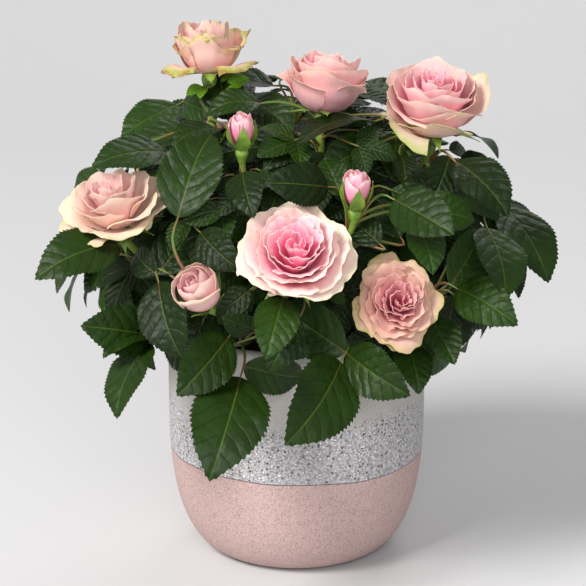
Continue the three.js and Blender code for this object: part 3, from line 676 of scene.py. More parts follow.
# %% Lay the leaves: those that show, then layer after layer of the dome
def lay_layer(leaves, layer, twist, dice, gap):
    share_out, tries, long = layer
    for i in range(tries):
        high = 1 - (1 - LOWEST) * (i + 0.5) / tries
        bearing = i * GOLDEN_ANGLE + twist
        out = heading(bearing, math.degrees(math.asin(high)))
        level = heading(bearing, 0)
        beside = vec(-level[1], level[0], 0)
        down = unit(level * high - vec(0, 0, math.hypot(out[0], out[1])))
        swing = (dice() - 0.5) * LIE["swing"]
        jitter = 1 + (dice() - 0.5) * LIE["jitter"]
        stretch = 1 + (dice() - 0.5) * LIE["stretch"]
        joint = CROWN_CENTRE + out * CROWN_REACH * (share_out * jitter)
        rise = LIE["out"] * (1 - LIE["flatter"] * max(0.0, high))
        stem = nearest_stem(joint)
        for lean, share, count in ATTEMPTS:
            way = unit(out * rise + down * LIE["down"] + beside * (swing + lean))
            leaf = make_leaf(stem, joint, way, long * stretch * share, count, i)
            grows = leaf["reach"] < LONGEST_STALK and leaf["forward"] > TURNS_BACK and inside_crown(leaf)
            if grows and leaf_is_clear(crowd, leaf, gap):
                accept(leaves, leaf)
                break


LEAVES = []
for i, (joint, *rows) in enumerate(SHOWN_LEAVES):
    accept(LEAVES, shown_leaf(nearest_stem(vec(*joint)), vec(*joint), rows, i))
dice = make_dice(LEAF_SEED)
for number, layer in enumerate(LAYERS):
    lay_layer(LEAVES, layer, number * LAYER_TWIST, dice, CLEAR["leaf"])
print(len(LEAVES), "leaves as in the solids,", crowd.count, "leaflets")

# %% [markdown]
# ## Finer leaves inside the crown
# The solids hold the leaves that make the outline. The real bush is darker and denser
# behind them, with smaller leaves on thin side twigs.

# %% Carry the rule on to finer leaves
FINER_LAYERS = [(0.8, 260, 34), (0.68, 220, 32), (0.52, 140, 30),
                (0.9, 240, 27), (0.74, 320, 22), (0.6, 220, 22)]
FINER_GAP = 0.9
FINER_SEED = 777
FINER_TWIST = {"first": 19, "step": 31}

coarse_count = len(LEAVES)
dice = make_dice(FINER_SEED)
for number, layer in enumerate(FINER_LAYERS):
    lay_layer(LEAVES, layer, FINER_TWIST["first"] + number * FINER_TWIST["step"], dice, FINER_GAP)
# young bright leaves on the stalk of the highest flower: joint, then bearing, rise, length, roll
YOUNG_LEAVES = [
    ((-40, -12, 268), (-22, 22, 17, 0), (-66, -8, 14, 0), (30, 42, 13, 0)),
    ((-42, -14, 260), (-44, -14, 16, 0), (-100, -26, 12, 0), (10, 8, 13, 0)),
    ((-50, -16, 270), (-150, -20, 12, 0), (-105, -30, 10, 0)),
]
for i, (joint, *rows) in enumerate(YOUNG_LEAVES):
    young = shown_leaf(nearest_stem(vec(*joint)), vec(*joint), rows, i)
    young["young"] = True
    accept(LEAVES, young)
print(len(LEAVES) - coarse_count, "finer leaves,", crowd.count, "leaflets in all")

# %% [markdown]
# ## The form of a leaflet
# A rose leaflet is an oval blade that ends in a point, with a finely toothed margin, a
# crease along the midrib and sunken side veins. It could be a flat card with a picture, but
# that has no teeth and no thickness. Here each form is a thin closed shell, one length
# long, that the scatter below makes larger. Each tooth is a corner of the outline that
# points forward. Leaves of the outline get many fine teeth, and the finer ones get few.

# %% Outline and bend of a leaflet that is 1 long
FINE_TEETH = 20
FEW_TEETH = 9
BLADE_THICK = 0.012
COLUMNS = (0.36, 0.70)
COLUMN_CLIMB = 0.015
TIP_STARTS = 0.8
TIP_DRAWN_IN = 0.45
DROOP_STARTS = 0.55
RIPPLES = 2.2
TOOTH = {"least": 0.005, "size": 0.27, "point": 0.9, "forward": 0.008, "notch": 0.97}


def outline_share(y):
    """Half the blade's width at y, from 0 at its base to 1 at its tip; its widest is 1."""
    if not 0 < y < 1:
        return 0.0
    drawn_in = 1 - TIP_DRAWN_IN * max(0.0, (y - TIP_STARTS) / (1 - TIP_STARTS)) ** 1.4
    return math.sin(math.pi * y**0.82) ** 0.7 * drawn_in


def form_height(x, y, bend):
    """How high the blade stands at (x, y): arched, folded, rippled, and drooping at its tip."""
    arch, fold, droop, wave, phase = bend
    up = arch * 4 * y * (1 - y) + fold * abs(x) ** 1.25 * 1.35
    turn = 2 * math.pi * RIPPLES * y + phase + (0.9 if x > 0 else 0)
    ripple = wave * (x / HALF_WIDTH) ** 2 * math.sin(turn)
    return up - droop * max(0.0, y - DROOP_STARTS) ** 2 + ripple

# %% One leaflet: rows of vertices from base to tip, above and below, joined at the teeth
def half_faces(middle, inner, outer, notches, points, base, tip):
    """The faces of one half of a blade, from the midrib out to the teeth."""
    side = [(base, notches[0], outer[0]), (base, outer[0], inner[0]), (base, inner[0], middle[0])]
    for i in range(len(points)):
        j = i + 1
        side += [(middle[i], inner[i], inner[j], middle[j]),
                 (inner[i], outer[i], outer[j], inner[j]),
                 (outer[i], notches[i], points[i]),
                 (outer[i], points[i], outer[j]),
                 (outer[j], points[i], notches[j])]
    return side + [(tip, middle[-1], inner[-1]), (tip, inner[-1], outer[-1]), (tip, outer[-1], notches[-1])]


def leaflet_form(name, bend, skew, teeth):
    vertices, faces, under, uvs = [], [], [], []

    def put(x, y, lift=0.0):
        vertices.append((x + skew * y * (1 - y), y, form_height(x, y, bend) + lift))
        uvs.append((0.5 + 0.5 * x / (HALF_WIDTH * 1.1), y))
        return len(vertices) - 1

    rows = [0.03 + 0.94 * (i / teeth) ** 0.96 for i in range(teeth + 1)]
    base, tip = put(0.0, 0.0), put(0.0, 1.0)
    outline = {}
    for hand in (-1, 1):
        notches = [put(hand * HALF_WIDTH * outline_share(y) * TOOTH["notch"], y) for y in rows]
        points = []
        for i in range(teeth):
            y = rows[i] + (rows[i + 1] - rows[i]) * TOOTH["point"]
            by_place = 0.3 + 0.7 * math.sin(math.pi * y)
            by_chance = 0.8 + 0.3 * math.sin(5.1 * i)
            out = TOOTH["least"] + TOOTH["size"] / teeth * by_place * by_chance
            points.append(put(hand * (HALF_WIDTH * outline_share(y) + out), y + TOOTH["forward"]))
        outline[hand] = notches, points
    for lift, low in ((BLADE_THICK / 2, False), (-BLADE_THICK / 2, True)):
        middle = [put(0.0, y, lift) for y in rows]
        for hand in (-1, 1):
            inner, outer = [
                [put(hand * HALF_WIDTH * outline_share(y) * share,
                     y + COLUMN_CLIMB * share * outline_share(y), lift * 0.9) for y in rows]
                for share in COLUMNS
            ]
            side = half_faces(middle, inner, outer, *outline[hand], base, tip)
            flip = (hand < 0) != low
            faces += [tuple(reversed(face)) for face in side] if flip else side
            under += [low] * len(side)
    piece = mesh_object(name, vertices, faces)
    layer = piece.data.uv_layers.new(name="blade")
    for loop in piece.data.loops:
        layer.data[loop.index].uv = uvs[loop.vertex_index]
    piece.data.attributes.new("underside", "BOOLEAN", "FACE").data.foreach_set("value", under)
    piece.data.set_sharp_from_angle(angle=math.radians(62))
    return piece


def loose_edges(piece):
    """How many edges don't join exactly two faces, or all of them if the shell is inside out."""
    shell = bmesh.new()
    shell.from_mesh(piece.data)
    loose = sum(not edge.is_manifold for edge in shell.edges)
    if shell.calc_volume(signed=True) < 0:
        loose = len(shell.edges)
    shell.free()
    return loose

# %% Make the forms: four shapes of blade, each in three tempers, finely and coarsely toothed
# droop of the tip, height and phase of the ripples, and how far the blade swings sideways
TEMPERS = [(0.10, 0.010, 0.3, 0.03), (0.32, 0.018, 1.7, -0.05), (0.55, 0.013, 3.1, 0.05)]


def make_forms(title, teeth):
    forms = bpy.data.collections.new(title)
    SCENE.collection.children.link(forms)
    for temper, (droop, wave, phase, skew) in enumerate(TEMPERS):
        for kind in range(4):
            bend = (ARCH[kind], FOLD[kind], droop, wave, phase + kind)
            form = leaflet_form(f"{title}_{temper}{kind}", bend, skew, teeth)
            SCENE.collection.objects.unlink(form)
            forms.objects.link(form)
    print(title, "has", len(forms.objects), "forms of", count_triangles(form), "triangles each,",
          sum(loose_edges(f) for f in forms.objects), "loose edges")
    return forms


FINE_FORMS = make_forms("fine_leaflet", FINE_TEETH)
PLAIN_FORMS = make_forms("plain_leaflet", FEW_TEETH)

# %% [markdown]
# ## Geometry Nodes that scatter forms and draw limbs
# Two trees do most of the work. One puts a form at every point of a list, turned and
# scaled by the point's own values, which is how leaflets, prickles and crumbs of soil are
# placed. The other turns rows of points into limbs of the right thickness. Both end in
# Realize Instances and Set Material, so what comes out is a plain mesh.

# %% Helpers to build a tree and to run it once
def give(socket, value):
    """Sets a socket to a plain value, or links another node's output to it."""
    if isinstance(value, bpy.types.NodeSocket):
        socket.id_data.links.new(value, socket)
    else:
        socket.default_value = value


def add_node(owner, kind, inputs=None, **settings):
    """A node with its inputs and settings; the owner is a tree or a finish that has one."""
    node = getattr(owner, "node_tree", owner).nodes.new(kind)
    for label, value in settings.items():
        setattr(node, label, value)
    for label, value in (inputs or {}).items():
        give(node.inputs[label], value)
    return node


def point_values(mesh, **values):
    """Gives every vertex of a mesh one value under each name."""
    for label, (kind, numbers) in values.items():
        mesh.attributes.new(label, kind, "POINT").data.foreach_set("value", numbers)


def new_tree(name, inputs):
    tree = bpy.data.node_groups.new(name, "GeometryNodeTree")
    tree.interface.new_socket(name="Geometry", in_out="INPUT", socket_type="NodeSocketGeometry")
    for label, kind in inputs.items():
        tree.interface.new_socket(name=label, in_out="INPUT", socket_type="NodeSocket" + kind)
    tree.interface.new_socket(name="Geometry", in_out="OUTPUT", socket_type="NodeSocketGeometry")
    return tree, tree.nodes.new("NodeGroupInput"), tree.nodes.new("NodeGroupOutput")


def named(tree, label, kind):
    node = add_node(tree, "GeometryNodeInputNamedAttribute", {"Name": label}, data_type=kind)
    return next(s for s in node.outputs if s.enabled and s.name == "Attribute")


def run_tree(tree, source, name, values, drop):
    """Runs the tree on the source object and returns the result as a plain mesh object."""
    modifier = source.modifiers.new("rule", "NODES")
    modifier.node_group = tree
    for item in tree.interface.items_tree:
        if item.in_out == "INPUT" and item.name in values:
            modifier[item.identifier] = values[item.name]
    graph = bpy.context.evaluated_depsgraph_get()
    mesh = bpy.data.meshes.new_from_object(
        source.evaluated_get(graph), preserve_all_data_layers=True, depsgraph=graph)
    mesh.name = name
    bpy.data.objects.remove(source)
    for label in drop:
        found = mesh.attributes.get(label)
        if found is not None:
            mesh.attributes.remove(found)
    return show(name, mesh)

# %% The tree that scatters forms
def make_scatter_tree():
    tree, start, end = new_tree("scatter_forms", {
        "Forms": "Collection", "Size": "Float", "Upper": "Material", "Under": "Material"})
    forms = add_node(tree, "GeometryNodeCollectionInfo", {
        "Collection": start.outputs["Forms"], "Separate Children": True, "Reset Children": True})
    grow = add_node(tree, "ShaderNodeMath", {
        0: named(tree, "long", "FLOAT"), 1: start.outputs["Size"]}, operation="MULTIPLY")
    place = add_node(tree, "GeometryNodeInstanceOnPoints", {
        "Points": start.outputs["Geometry"], "Instance": forms.outputs[0], "Pick Instance": True,
        "Instance Index": named(tree, "form", "INT"), "Rotation": named(tree, "turn", "QUATERNION"),
        "Scale": grow.outputs[0]})
    real = add_node(tree, "GeometryNodeRealizeInstances", {0: place.outputs[0]})
    upper = add_node(tree, "GeometryNodeSetMaterial", {
        "Geometry": real.outputs[0], "Material": start.outputs["Upper"]})
    under = add_node(tree, "GeometryNodeSetMaterial", {
        "Geometry": upper.outputs[0], "Selection": named(tree, "underside", "BOOLEAN"),
        "Material": start.outputs["Under"]})
    give(end.inputs[0], under.outputs[0])
    return tree


SCATTER = make_scatter_tree()


def frame_turn(side, along, face):
    """The rotation that carries X, Y and Z to a blade's side, length and face."""
    return Matrix((side, along, face)).transposed().to_quaternion()


def scatter(name, collection, places, turns, longs, forms, upper, under):
    """Puts a form of the collection at every place; places and longs are in millimetres."""
    mesh = bpy.data.meshes.new(name + "_points")
    mesh.from_pydata([tuple(p * MM) for p in places], [], [])
    point_values(mesh, turn=("QUATERNION", [c for q in turns for c in q]),
                 long=("FLOAT", longs), form=("INT", forms))
    source = show(name + "_points", mesh)
    values = {"Forms": collection, "Size": MM, "Upper": upper, "Under": under}
    return run_tree(SCATTER, source, name, values, drop=("turn", "long", "form", "underside"))

# %% The tree that draws limbs along rows of points
def make_limb_tree():
    tree, start, end = new_tree("limbs_on_paths", {"Sides": "Int", "Bark": "Material"})
    thick = named(tree, "thick", "FLOAT")
    curve = add_node(tree, "GeometryNodeMeshToCurve", {"Mesh": start.outputs["Geometry"]})
    curve = add_node(tree, "GeometryNodeSetCurveRadius", {"Curve": curve.outputs[0], "Radius": thick})
    ring = add_node(tree, "GeometryNodeCurvePrimitiveCircle", {
        "Resolution": start.outputs["Sides"], "Radius": 1.0})
    sweep = add_node(tree, "GeometryNodeCurveToMesh", {
        "Curve": curve.outputs[0], "Profile Curve": ring.outputs[0], "Fill Caps": True})
    if "Scale" in sweep.inputs:
        give(sweep.inputs["Scale"], thick)
    soft = add_node(tree, "GeometryNodeSetShadeSmooth", {"Geometry": sweep.outputs[0]})
    real = add_node(tree, "GeometryNodeRealizeInstances", {0: soft.outputs[0]})
    bark = add_node(tree, "GeometryNodeSetMaterial", {
        "Geometry": real.outputs[0], "Material": start.outputs["Bark"]})
    give(end.inputs[0], bark.outputs[0])
    return tree


LIMBS = make_limb_tree()


def draw_limbs(name, paths, bark, sides):
    """paths is a list of (points, radii) in millimetres."""
    vertices, edges, radii = [], [], []
    for points, thick in paths:
        first = len(vertices)
        vertices += [tuple(p * MM) for p in points]
        radii += [r * MM for r in thick]
        edges += [(first + i, first + i + 1) for i in range(len(points) - 1)]
    mesh = bpy.data.meshes.new(name + "_paths")
    mesh.from_pydata(vertices, edges, [])
    point_values(mesh, thick=("FLOAT", radii))
    source = show(name + "_paths", mesh)
    piece = run_tree(LIMBS, source, name, {"Sides": sides, "Bark": bark}, drop=("thick", "radius"))
    piece.data.set_sharp_from_angle(angle=math.radians(50))
    print(name, "has", len(paths), "limbs and", count_triangles(piece), "triangles")
    return piece

# %% [markdown]
# ## Finishes of the green parts
# A rose leaf is glossy above, with sunken veins, and dull and paler below. The base colour
# of a spray is plain, because leaves on one bush differ from spray to spray more than
# within a leaf. The veins are a bump and a faint line, worked out from the blade's own map:
# v runs from base to tip and u across, so lines that climb with u are side veins. Above,
# that line is darker, as painted shade in the sunken grooves; below, it is paler.

# %% Helpers for nodes of a finish
def paint(r, g, b):
    """A colour as it is seen on a screen, 0 to 255, turned into light."""
    return tuple((c / 255 / 12.92) if c <= 10 else ((c / 255 + 0.055) / 1.055) ** 2.4 for c in (r, g, b))


def math_node(skin, operation, *values):
    return add_node(skin, "ShaderNodeMath", dict(enumerate(values)), operation=operation).outputs[0]


def times(skin, first, second):
    return math_node(skin, "MULTIPLY", first, second)


def place_on_piece(skin):
    """Where a spot is on the piece, in metres."""
    return add_node(skin, "ShaderNodeTexCoord").outputs["Object"]


def noise(skin, place, scale, detail=2.0, roughness=0.5):
    inputs = {"Vector": place, "Scale": scale, "Detail": detail, "Roughness": roughness}
    return add_node(skin, "ShaderNodeTexNoise", inputs).outputs["Fac"]


def object_noise(skin, scale, detail=3.0, roughness=0.55):
    """Noise in the object's own space, in waves per metre."""
    return noise(skin, place_on_piece(skin), scale, detail, roughness)


def blend(skin, factor, low, high):
    """Mixes two colours, each a plain colour or a socket."""
    node = add_node(skin, "ShaderNodeMix", data_type="RGBA")
    sockets = {s.identifier: s for s in node.inputs}
    give(sockets["Factor_Float"], factor)
    for label, colour in (("A_Color", low), ("B_Color", high)):
        give(sockets[label], (*colour, 1.0) if isinstance(colour, tuple) else colour)
    return next(s for s in node.outputs if s.identifier == "Result_Color")


def spread(skin, value, low, high, start=0.0, end=1.0):
    """Stretches a value's range, clamped."""
    inputs = {"Value": value, "From Min": low, "From Max": high, "To Min": start, "To Max": end}
    return add_node(skin, "ShaderNodeMapRange", inputs, clamp=True).outputs[0]


def mottled(skin, scale, detail, dark, light, contrast=0.4):
    """A colour that goes from dark to light in clouds, at so many waves per metre."""
    cloud = object_noise(skin, scale, detail)
    return blend(skin, spread(skin, cloud, 0.5 - contrast / 2, 0.5 + contrast / 2), dark, light)


def set_input(skin, label, value):
    """Sets or links a socket of the finish itself."""
    give(skin.node_tree.nodes["Principled BSDF"].inputs[label], value)


def add_bump(skin, height, distance, strength):
    inputs = {"Strength": strength, "Distance": distance, "Height": height}
    set_input(skin, "Normal", add_node(skin, "ShaderNodeBump", inputs).outputs["Normal"])

# %% The veins of a blade, as values a finish can use
VEIN_PAIRS = 6.0
VEIN_CLIMB = 0.2
VEIN_BEND = 0.16
VEIN_WOBBLE = 0.10


def vein_values(skin):
    """How far a place is from the midrib and from the nearest side vein, and its map."""
    uv = add_node(skin, "ShaderNodeUVMap", uv_map="blade").outputs["UV"]
    parts = add_node(skin, "ShaderNodeSeparateXYZ", {0: uv})
    across = math_node(skin, "MULTIPLY_ADD", parts.outputs["X"], 2.0, -1.0)
    across = math_node(skin, "ABSOLUTE", across)
    bent = math_node(skin, "MULTIPLY_ADD", across, VEIN_BEND, VEIN_CLIMB)
    place = math_node(skin, "SUBTRACT", parts.outputs["Y"], times(skin, across, bent))
    place = math_node(skin, "MULTIPLY_ADD", noise(skin, uv, 3.5), VEIN_WOBBLE, place)
    side = math_node(skin, "PINGPONG", times(skin, place, VEIN_PAIRS), 0.5)
    return across, side, parts.outputs["Y"], uv

# %% Relief of a leaf: pillows between the veins, fine creases and puckers
LEAF_RELIEF = 0.0008
PILLOW = 0.45
CREASE = 0.4
PUCKER = -0.75
PUCKERS = 15.0


def leaf_relief(skin, across, side, uv):
    pillow = math_node(skin, "POWER", times(skin, side, 2.0), PILLOW)
    height = times(skin, pillow, spread(skin, across, 0.0, 0.12))
    height = math_node(skin, "MULTIPLY_ADD", noise(skin, uv, 24.0, 3.0), CREASE, height)
    inputs = {"Vector": uv, "Scale": (2 * HALF_WIDTH, 1.0, 1.0)}
    true_shape = add_node(skin, "ShaderNodeMapping", inputs)
    inputs = {"Vector": true_shape.outputs["Vector"], "Scale": PUCKERS, "Smoothness": 0.5}
    puckers = add_node(skin, "ShaderNodeTexVoronoi", inputs, feature="SMOOTH_F1").outputs["Distance"]
    add_bump(skin, math_node(skin, "MULTIPLY_ADD", puckers, PUCKER, height), LEAF_RELIEF, 0.65)

# %% Leaf finishes: four greens above, one dull green below
RIB_FOOT, RIB_TIP = paint(112, 70, 34), paint(78, 100, 28)


def leaf_finish(name, colour, roughness, veins=1.0):
    skin = new_material(name, colour, roughness, Specular_IOR_Level=0.18)
    across, side, along, uv = vein_values(skin)
    leaf_relief(skin, across, side, uv)
    # The vein colour is darker on the upper side, as painted shade in the sunken grooves; on the underside
    # it is paler.
    darker, brighter, vein = [tuple(c * share for c in colour) for share in (0.8, 1.22, 1 - 0.3 * veins)]
    ground = mottled(skin, 42.0, 2.0, darker, brighter)
    ground = blend(skin, spread(skin, side, 0.0, 0.09), vein, ground)
    rib_hue = blend(skin, spread(skin, along, 0.0, 0.35), RIB_FOOT, RIB_TIP)
    rib = times(skin, spread(skin, across, 0.006, 0.026, 0.6, 0.0),
                spread(skin, along, 0.75, 1.0, 1.0, 0.3))
    set_input(skin, "Base Color", blend(skin, rib, ground, rib_hue))
    gloss = spread(skin, object_noise(skin, 160.0), 0.25, 0.75, roughness - 0.08, roughness + 0.1)
    set_input(skin, "Roughness", gloss)
    return skin


GREENS = {
    "deep": leaf_finish("leaf_deep_green", paint(17, 33, 3), 0.42),
    "dark": leaf_finish("leaf_dark_green", paint(26, 47, 7), 0.42),
    "mid": leaf_finish("leaf_mid_green", paint(30, 54, 7), 0.42),
    "fresh": leaf_finish("leaf_fresh_green", paint(80, 120, 24), 0.45),
}
LEAF_BACK = leaf_finish("leaf_underside", paint(74, 97, 54), 0.62, -0.6)
STALK_FINISH = new_material("leaf_stalk", paint(96, 92, 50), 0.5)
stalk_colour = mottled(STALK_FINISH, 90.0, 2.0, paint(78, 110, 38), paint(122, 82, 48), 0.3)
set_input(STALK_FINISH, "Base Color", stalk_colour)
print("finishes:", [m.name for m in bpy.data.materials])

# %% [markdown]
# ## Leaflets, dealt out by spray
# Every leaflet of the rule becomes one point: its place, its turn, its length and which
# form it takes. All leaflets of one leaf share a green. It is the darkest deep in the
# crown and bright on the young leaves at the top, and a dice picks it for all the others.

# %% Deal the leaves out to four greens
GREEN_SEED = 4242
INNER_CROWN = 0.66
GREEN_SHARES = [("deep", 0.3), ("dark", 0.74), ("mid", 1.0)]


def green_of(leaf, dice):
    joint = leaf["stalk"][3]
    outward = float(np.linalg.norm((joint - CROWN_CENTRE) / CROWN_REACH))
    roll = (dice() + 0.37 * (leaf["stem"] * 7 % 5)) % 1.0
    if "young" in leaf:
        return "fresh"
    if outward < INNER_CROWN:
        return "deep"
    return next(green for green, share in GREEN_SHARES if roll < share)


dice = make_dice(GREEN_SEED)
sprays = {}
for number, leaf in enumerate(LEAVES):
    outer = number < coarse_count
    sprays.setdefault((green_of(leaf, dice), outer), []).append(leaf)
print("leaves of each green, outer or not:", {key: len(leaves) for key, leaves in sprays.items()})

# %% Make every leaflet real, one piece to each green, outer and inner leaves apart
leaf_pieces = []
for (green, outer), leaves in sprays.items():
    blades = [blade for leaf in leaves for blade in leaf["leaflets"]]
    places = [blade["base"] for blade in blades]
    turns = [frame_turn(blade["side"], blade["along"], blade["face"]) for blade in blades]
    longs = [blade["length"] for blade in blades]
    forms = [blade["kind"] % 4 + 4 * int(dice() * 3) for blade in blades]
    name = f"leaves_{green}_{'outer' if outer else 'inner'}"
    blade_forms = FINE_FORMS if outer else PLAIN_FORMS
    piece = scatter(name, blade_forms, places, turns, longs, forms, GREENS[green], LEAF_BACK)
    print(name, "has", len(blades), "leaflets and", count_triangles(piece), "triangles")
    leaf_pieces.append(piece)


def clear_forms(collection):
    """The forms are copied into the pieces by now, so they go."""
    for form in list(collection.objects):
        bpy.data.objects.remove(form)
    bpy.data.collections.remove(collection)


clear_forms(FINE_FORMS)
clear_forms(PLAIN_FORMS)

# %% [markdown]
# ## Leaf stalks
# A thin stalk carries every leaf, thickest where it leaves the stem, reddish in the sun
# and green below. It could be a straight rod, but a real one leaves along its stem and
# bends out into the blade, so it follows the curve that the rule gave it and runs a little
# way into the end leaflet as its midrib.

# %% Leaf stalks, one limb to each leaf
STALK_STEPS = 7
STALK_THICK = {"foot": 1.05, "thinner": 0.055, "tip": 0.35, "sides": 5}
MIDRIB_REACH = 0.06
LARGE_LEAFLET = 42


def stalk_path(leaf):
    end = leaf["leaflets"][0]
    points = [curve_point(leaf["stalk"], i / STALK_STEPS) for i in range(STALK_STEPS + 1)]
    points.append(end["base"] + end["along"] * (MIDRIB_REACH * end["length"]))
    radii = [STALK_THICK["foot"] - STALK_THICK["thinner"] * i for i in range(STALK_STEPS + 1)]
    radii.append(STALK_THICK["tip"])
    scale = 0.55 + 0.45 * min(1.0, end["length"] / LARGE_LEAFLET)
    return points, [r * scale for r in radii]


stalk_paths = [stalk_path(leaf) for leaf in LEAVES]
leaf_stalks = draw_limbs("leaf_stalks", stalk_paths, STALK_FINISH, STALK_THICK["sides"])

# %% [markdown]
# ## Petals
# A garden rose holds two dozen broad petals in a spiral. The outer ones are pale and
# rolled back at the rim, with greenish edges, and the inner ones are small, upright, pink
# and folded into each other. It could be one lump with a swirl painted on, but the light
# between real petals makes the flower. Each petal here is its own thin closed shell: a
# profile from base to rim, swept part of the way round the flower's axis, one edge outside
# its neighbour and the other inside. From one petal to the next the spiral turns by the
# golden angle, as on the real plant, so no two rims line up.

# %% From the outermost petal to the heart, for a flower that is 1 across
# Each row: share of the way in; rim radius and height; belly radius and height; half the
# angle it spans in degrees; how far it rolls back; ruffle; how pink; how green its edge.
OPEN_PETALS = (32, [
    (0.00, 0.500, 0.25, 0.36, -0.02, 46, 0.055, 0.030, 0.32, 1.00),
    (0.15, 0.455, 0.34, 0.34, 0.03, 48, 0.052, 0.028, 0.42, 0.60),
    (0.32, 0.385, 0.41, 0.30, 0.09, 48, 0.036, 0.022, 0.52, 0.25),
    (0.50, 0.310, 0.455, 0.25, 0.14, 50, 0.024, 0.022, 0.66, 0.08),
    (0.70, 0.220, 0.485, 0.185, 0.20, 54, 0.012, 0.020, 0.80, 0.0),
    (0.86, 0.130, 0.495, 0.125, 0.26, 60, 0.004, 0.018, 0.92, 0.0),
    (1.00, 0.045, 0.480, 0.06, 0.30, 76, 0.0, 0.012, 1.00, 0.0),
])
GOBLET_PETALS = (24, [
    (0.00, 0.450, 0.40, 0.440, 0.01, 58, 0.080, 0.026, 0.46, 0.55),
    (0.22, 0.405, 0.49, 0.400, 0.06, 62, 0.055, 0.024, 0.56, 0.30),
    (0.45, 0.325, 0.540, 0.310, 0.13, 64, 0.030, 0.022, 0.66, 0.10),
    (0.65, 0.235, 0.56, 0.220, 0.20, 64, 0.018, 0.020, 0.80, 0.0),
    (0.83, 0.140, 0.575, 0.140, 0.27, 66, 0.004, 0.016, 0.92, 0.0),
    (1.00, 0.045, 0.555, 0.060, 0.34, 80, 0.0, 0.012, 1.00, 0.0),
])
CUP_PETALS = (20, [
    (0.00, 0.370, 0.48, 0.420, 0.02, 54, 0.100, 0.036, 0.44, 1.00),
    (0.25, 0.320, 0.57, 0.380, 0.07, 56, 0.060, 0.036, 0.56, 0.60),
    (0.50, 0.265, 0.625, 0.310, 0.14, 56, 0.026, 0.028, 0.68, 0.35),
    (0.75, 0.165, 0.66, 0.210, 0.22, 64, 0.010, 0.026, 0.80, 0.20),
    (1.00, 0.050, 0.64, 0.080, 0.32, 80, 0.0, 0.016, 1.00, 0.0),
])
HALF_PETALS = (13, [
    (0.00, 0.44, 0.82, 0.60, 0.15, 66, 0.090, 0.018, 0.42, 0.50),
    (0.30, 0.36, 0.91, 0.54, 0.22, 66, 0.045, 0.018, 0.55, 0.25),
    (0.60, 0.24, 0.95, 0.40, 0.29, 70, 0.014, 0.018, 0.78, 0.05),
    (1.00, 0.06, 0.92, 0.16, 0.40, 86, 0.0, 0.012, 1.00, 0.0),
])
BUD_PETALS = (9, [
    (0.00, 0.35, 1.20, 0.55, 0.36, 68, 0.060, 0.050, 1.05, 0.20),
    (0.50, 0.23, 1.33, 0.42, 0.50, 72, 0.020, 0.055, 1.25, 0.05),
    (1.00, 0.07, 1.36, 0.22, 0.64, 86, 0.0, 0.026, 1.40, 0.0),
])
LOOSE_PETALS = (23, [
    (0.00, 0.510, 0.22, 0.38, -0.03, 50, 0.050, 0.040, 0.10, 1.00),
    (0.20, 0.470, 0.32, 0.36, 0.02, 52, 0.050, 0.036, 0.22, 0.70),
    (0.40, 0.370, 0.42, 0.32, 0.10, 56, 0.032, 0.028, 0.42, 0.35),
    (0.64, 0.240, 0.49, 0.230, 0.18, 62, 0.014, 0.022, 0.62, 0.10),
    (0.84, 0.130, 0.51, 0.130, 0.26, 70, 0.004, 0.016, 0.84, 0.0),
    (1.00, 0.045, 0.49, 0.060, 0.32, 80, 0.0, 0.012, 1.00, 0.0),
])
PLAIN_PETALS = {"bloom": OPEN_PETALS, "cup": CUP_PETALS, "half": HALF_PETALS, "bud": BUD_PETALS}
OWN_PETALS = {"upper_middle": GOBLET_PETALS, "upper_right": GOBLET_PETALS, "left": LOOSE_PETALS}
# loose petals outside the cup: bearing, then the same sizes from the rim radius on
GUARD_PETALS = {
    "upper_left": [(208, (0.54, 0.17, 0.40, 0.06, 42, 0.110, 0.040, 0.06, 1.5)),
                   (334, (0.50, 0.16, 0.40, 0.06, 42, 0.100, 0.040, 0.06, 1.5)),
                   (28, (0.52, 0.56, 0.47, 0.00, 42, 0.050, 0.040, 0.20, 1.4))],
    "upper_right": [(212, (0.57, 0.32, 0.44, -0.06, 40, 0.105, 0.035, 0.06, 1.2)),
                    (16, (0.63, 0.46, 0.52, 0.00, 42, 0.050, 0.030, 0.24, 0.7)),
                    (268, (0.52, 0.36, 0.44, -0.03, 46, 0.070, 0.035, 0.16, 0.9))],
}

# %% What is one flower's own, against the tables
RUFFLED = {"front_right": 1.8, "upper_right": 1.2, "upper_left": 1.8,
           "left": 1.25, "upper_middle": 1.4, "middle": 1.25}
TALLER = {"upper_middle": 1.16, "upper_right": 1.06}
SPIRAL_STARTS = 71
RIM_HEIGHT, BELLY_HEIGHT, RUFFLE = 1, 3, 6


def petals_of(stem):
    """Each petal's bearing and its own row of sizes, from the outermost inward."""
    count, table = OWN_PETALS.get(stem["name"], PLAIN_PETALS[stem["bears"]])
    tall = TALLER.get(stem["name"], 1.0)
    table = np.array(table)
    petals = [(bearing, list(row)) for bearing, row in GUARD_PETALS.get(stem["name"], ())]
    for i in range(count):
        share = i / (count - 1)
        row = [float(np.interp(share, table[:, 0], column)) for column in table.T[1:]]
        row[RIM_HEIGHT] *= tall
        row[BELLY_HEIGHT] *= tall
        row[RUFFLE] *= RUFFLED.get(stem["name"], 1.0)
        petals.append((stem["number"] * SPIRAL_STARTS + i * GOLDEN_ANGLE, row))
    return petals


def profile_place(row, t):
    """Radius and height at t, from 0 at a petal's base to 1 at its rim."""
    rim_r, rim_z, belly_r, belly_z = row[:4]
    k = 1 - t
    r = k**3 * 0.035 + 3 * k * k * t * belly_r * 0.75 + 3 * k * t**2 * belly_r * 1.02 + t**3 * rim_r
    z = 3 * k * k * t * belly_z + 3 * k * t**2 * (belly_z + (rim_z - belly_z) * 0.55) + t**3 * rim_z
    return r, z

# %% The middle surface of one petal
HEART_RADIUS = 0.34
FULL_TURN = 6.28


def share_from(values, start):
    """0 up to the start, then evenly up to 1."""
    return np.clip((values - start) / (1 - start), 0, 1)


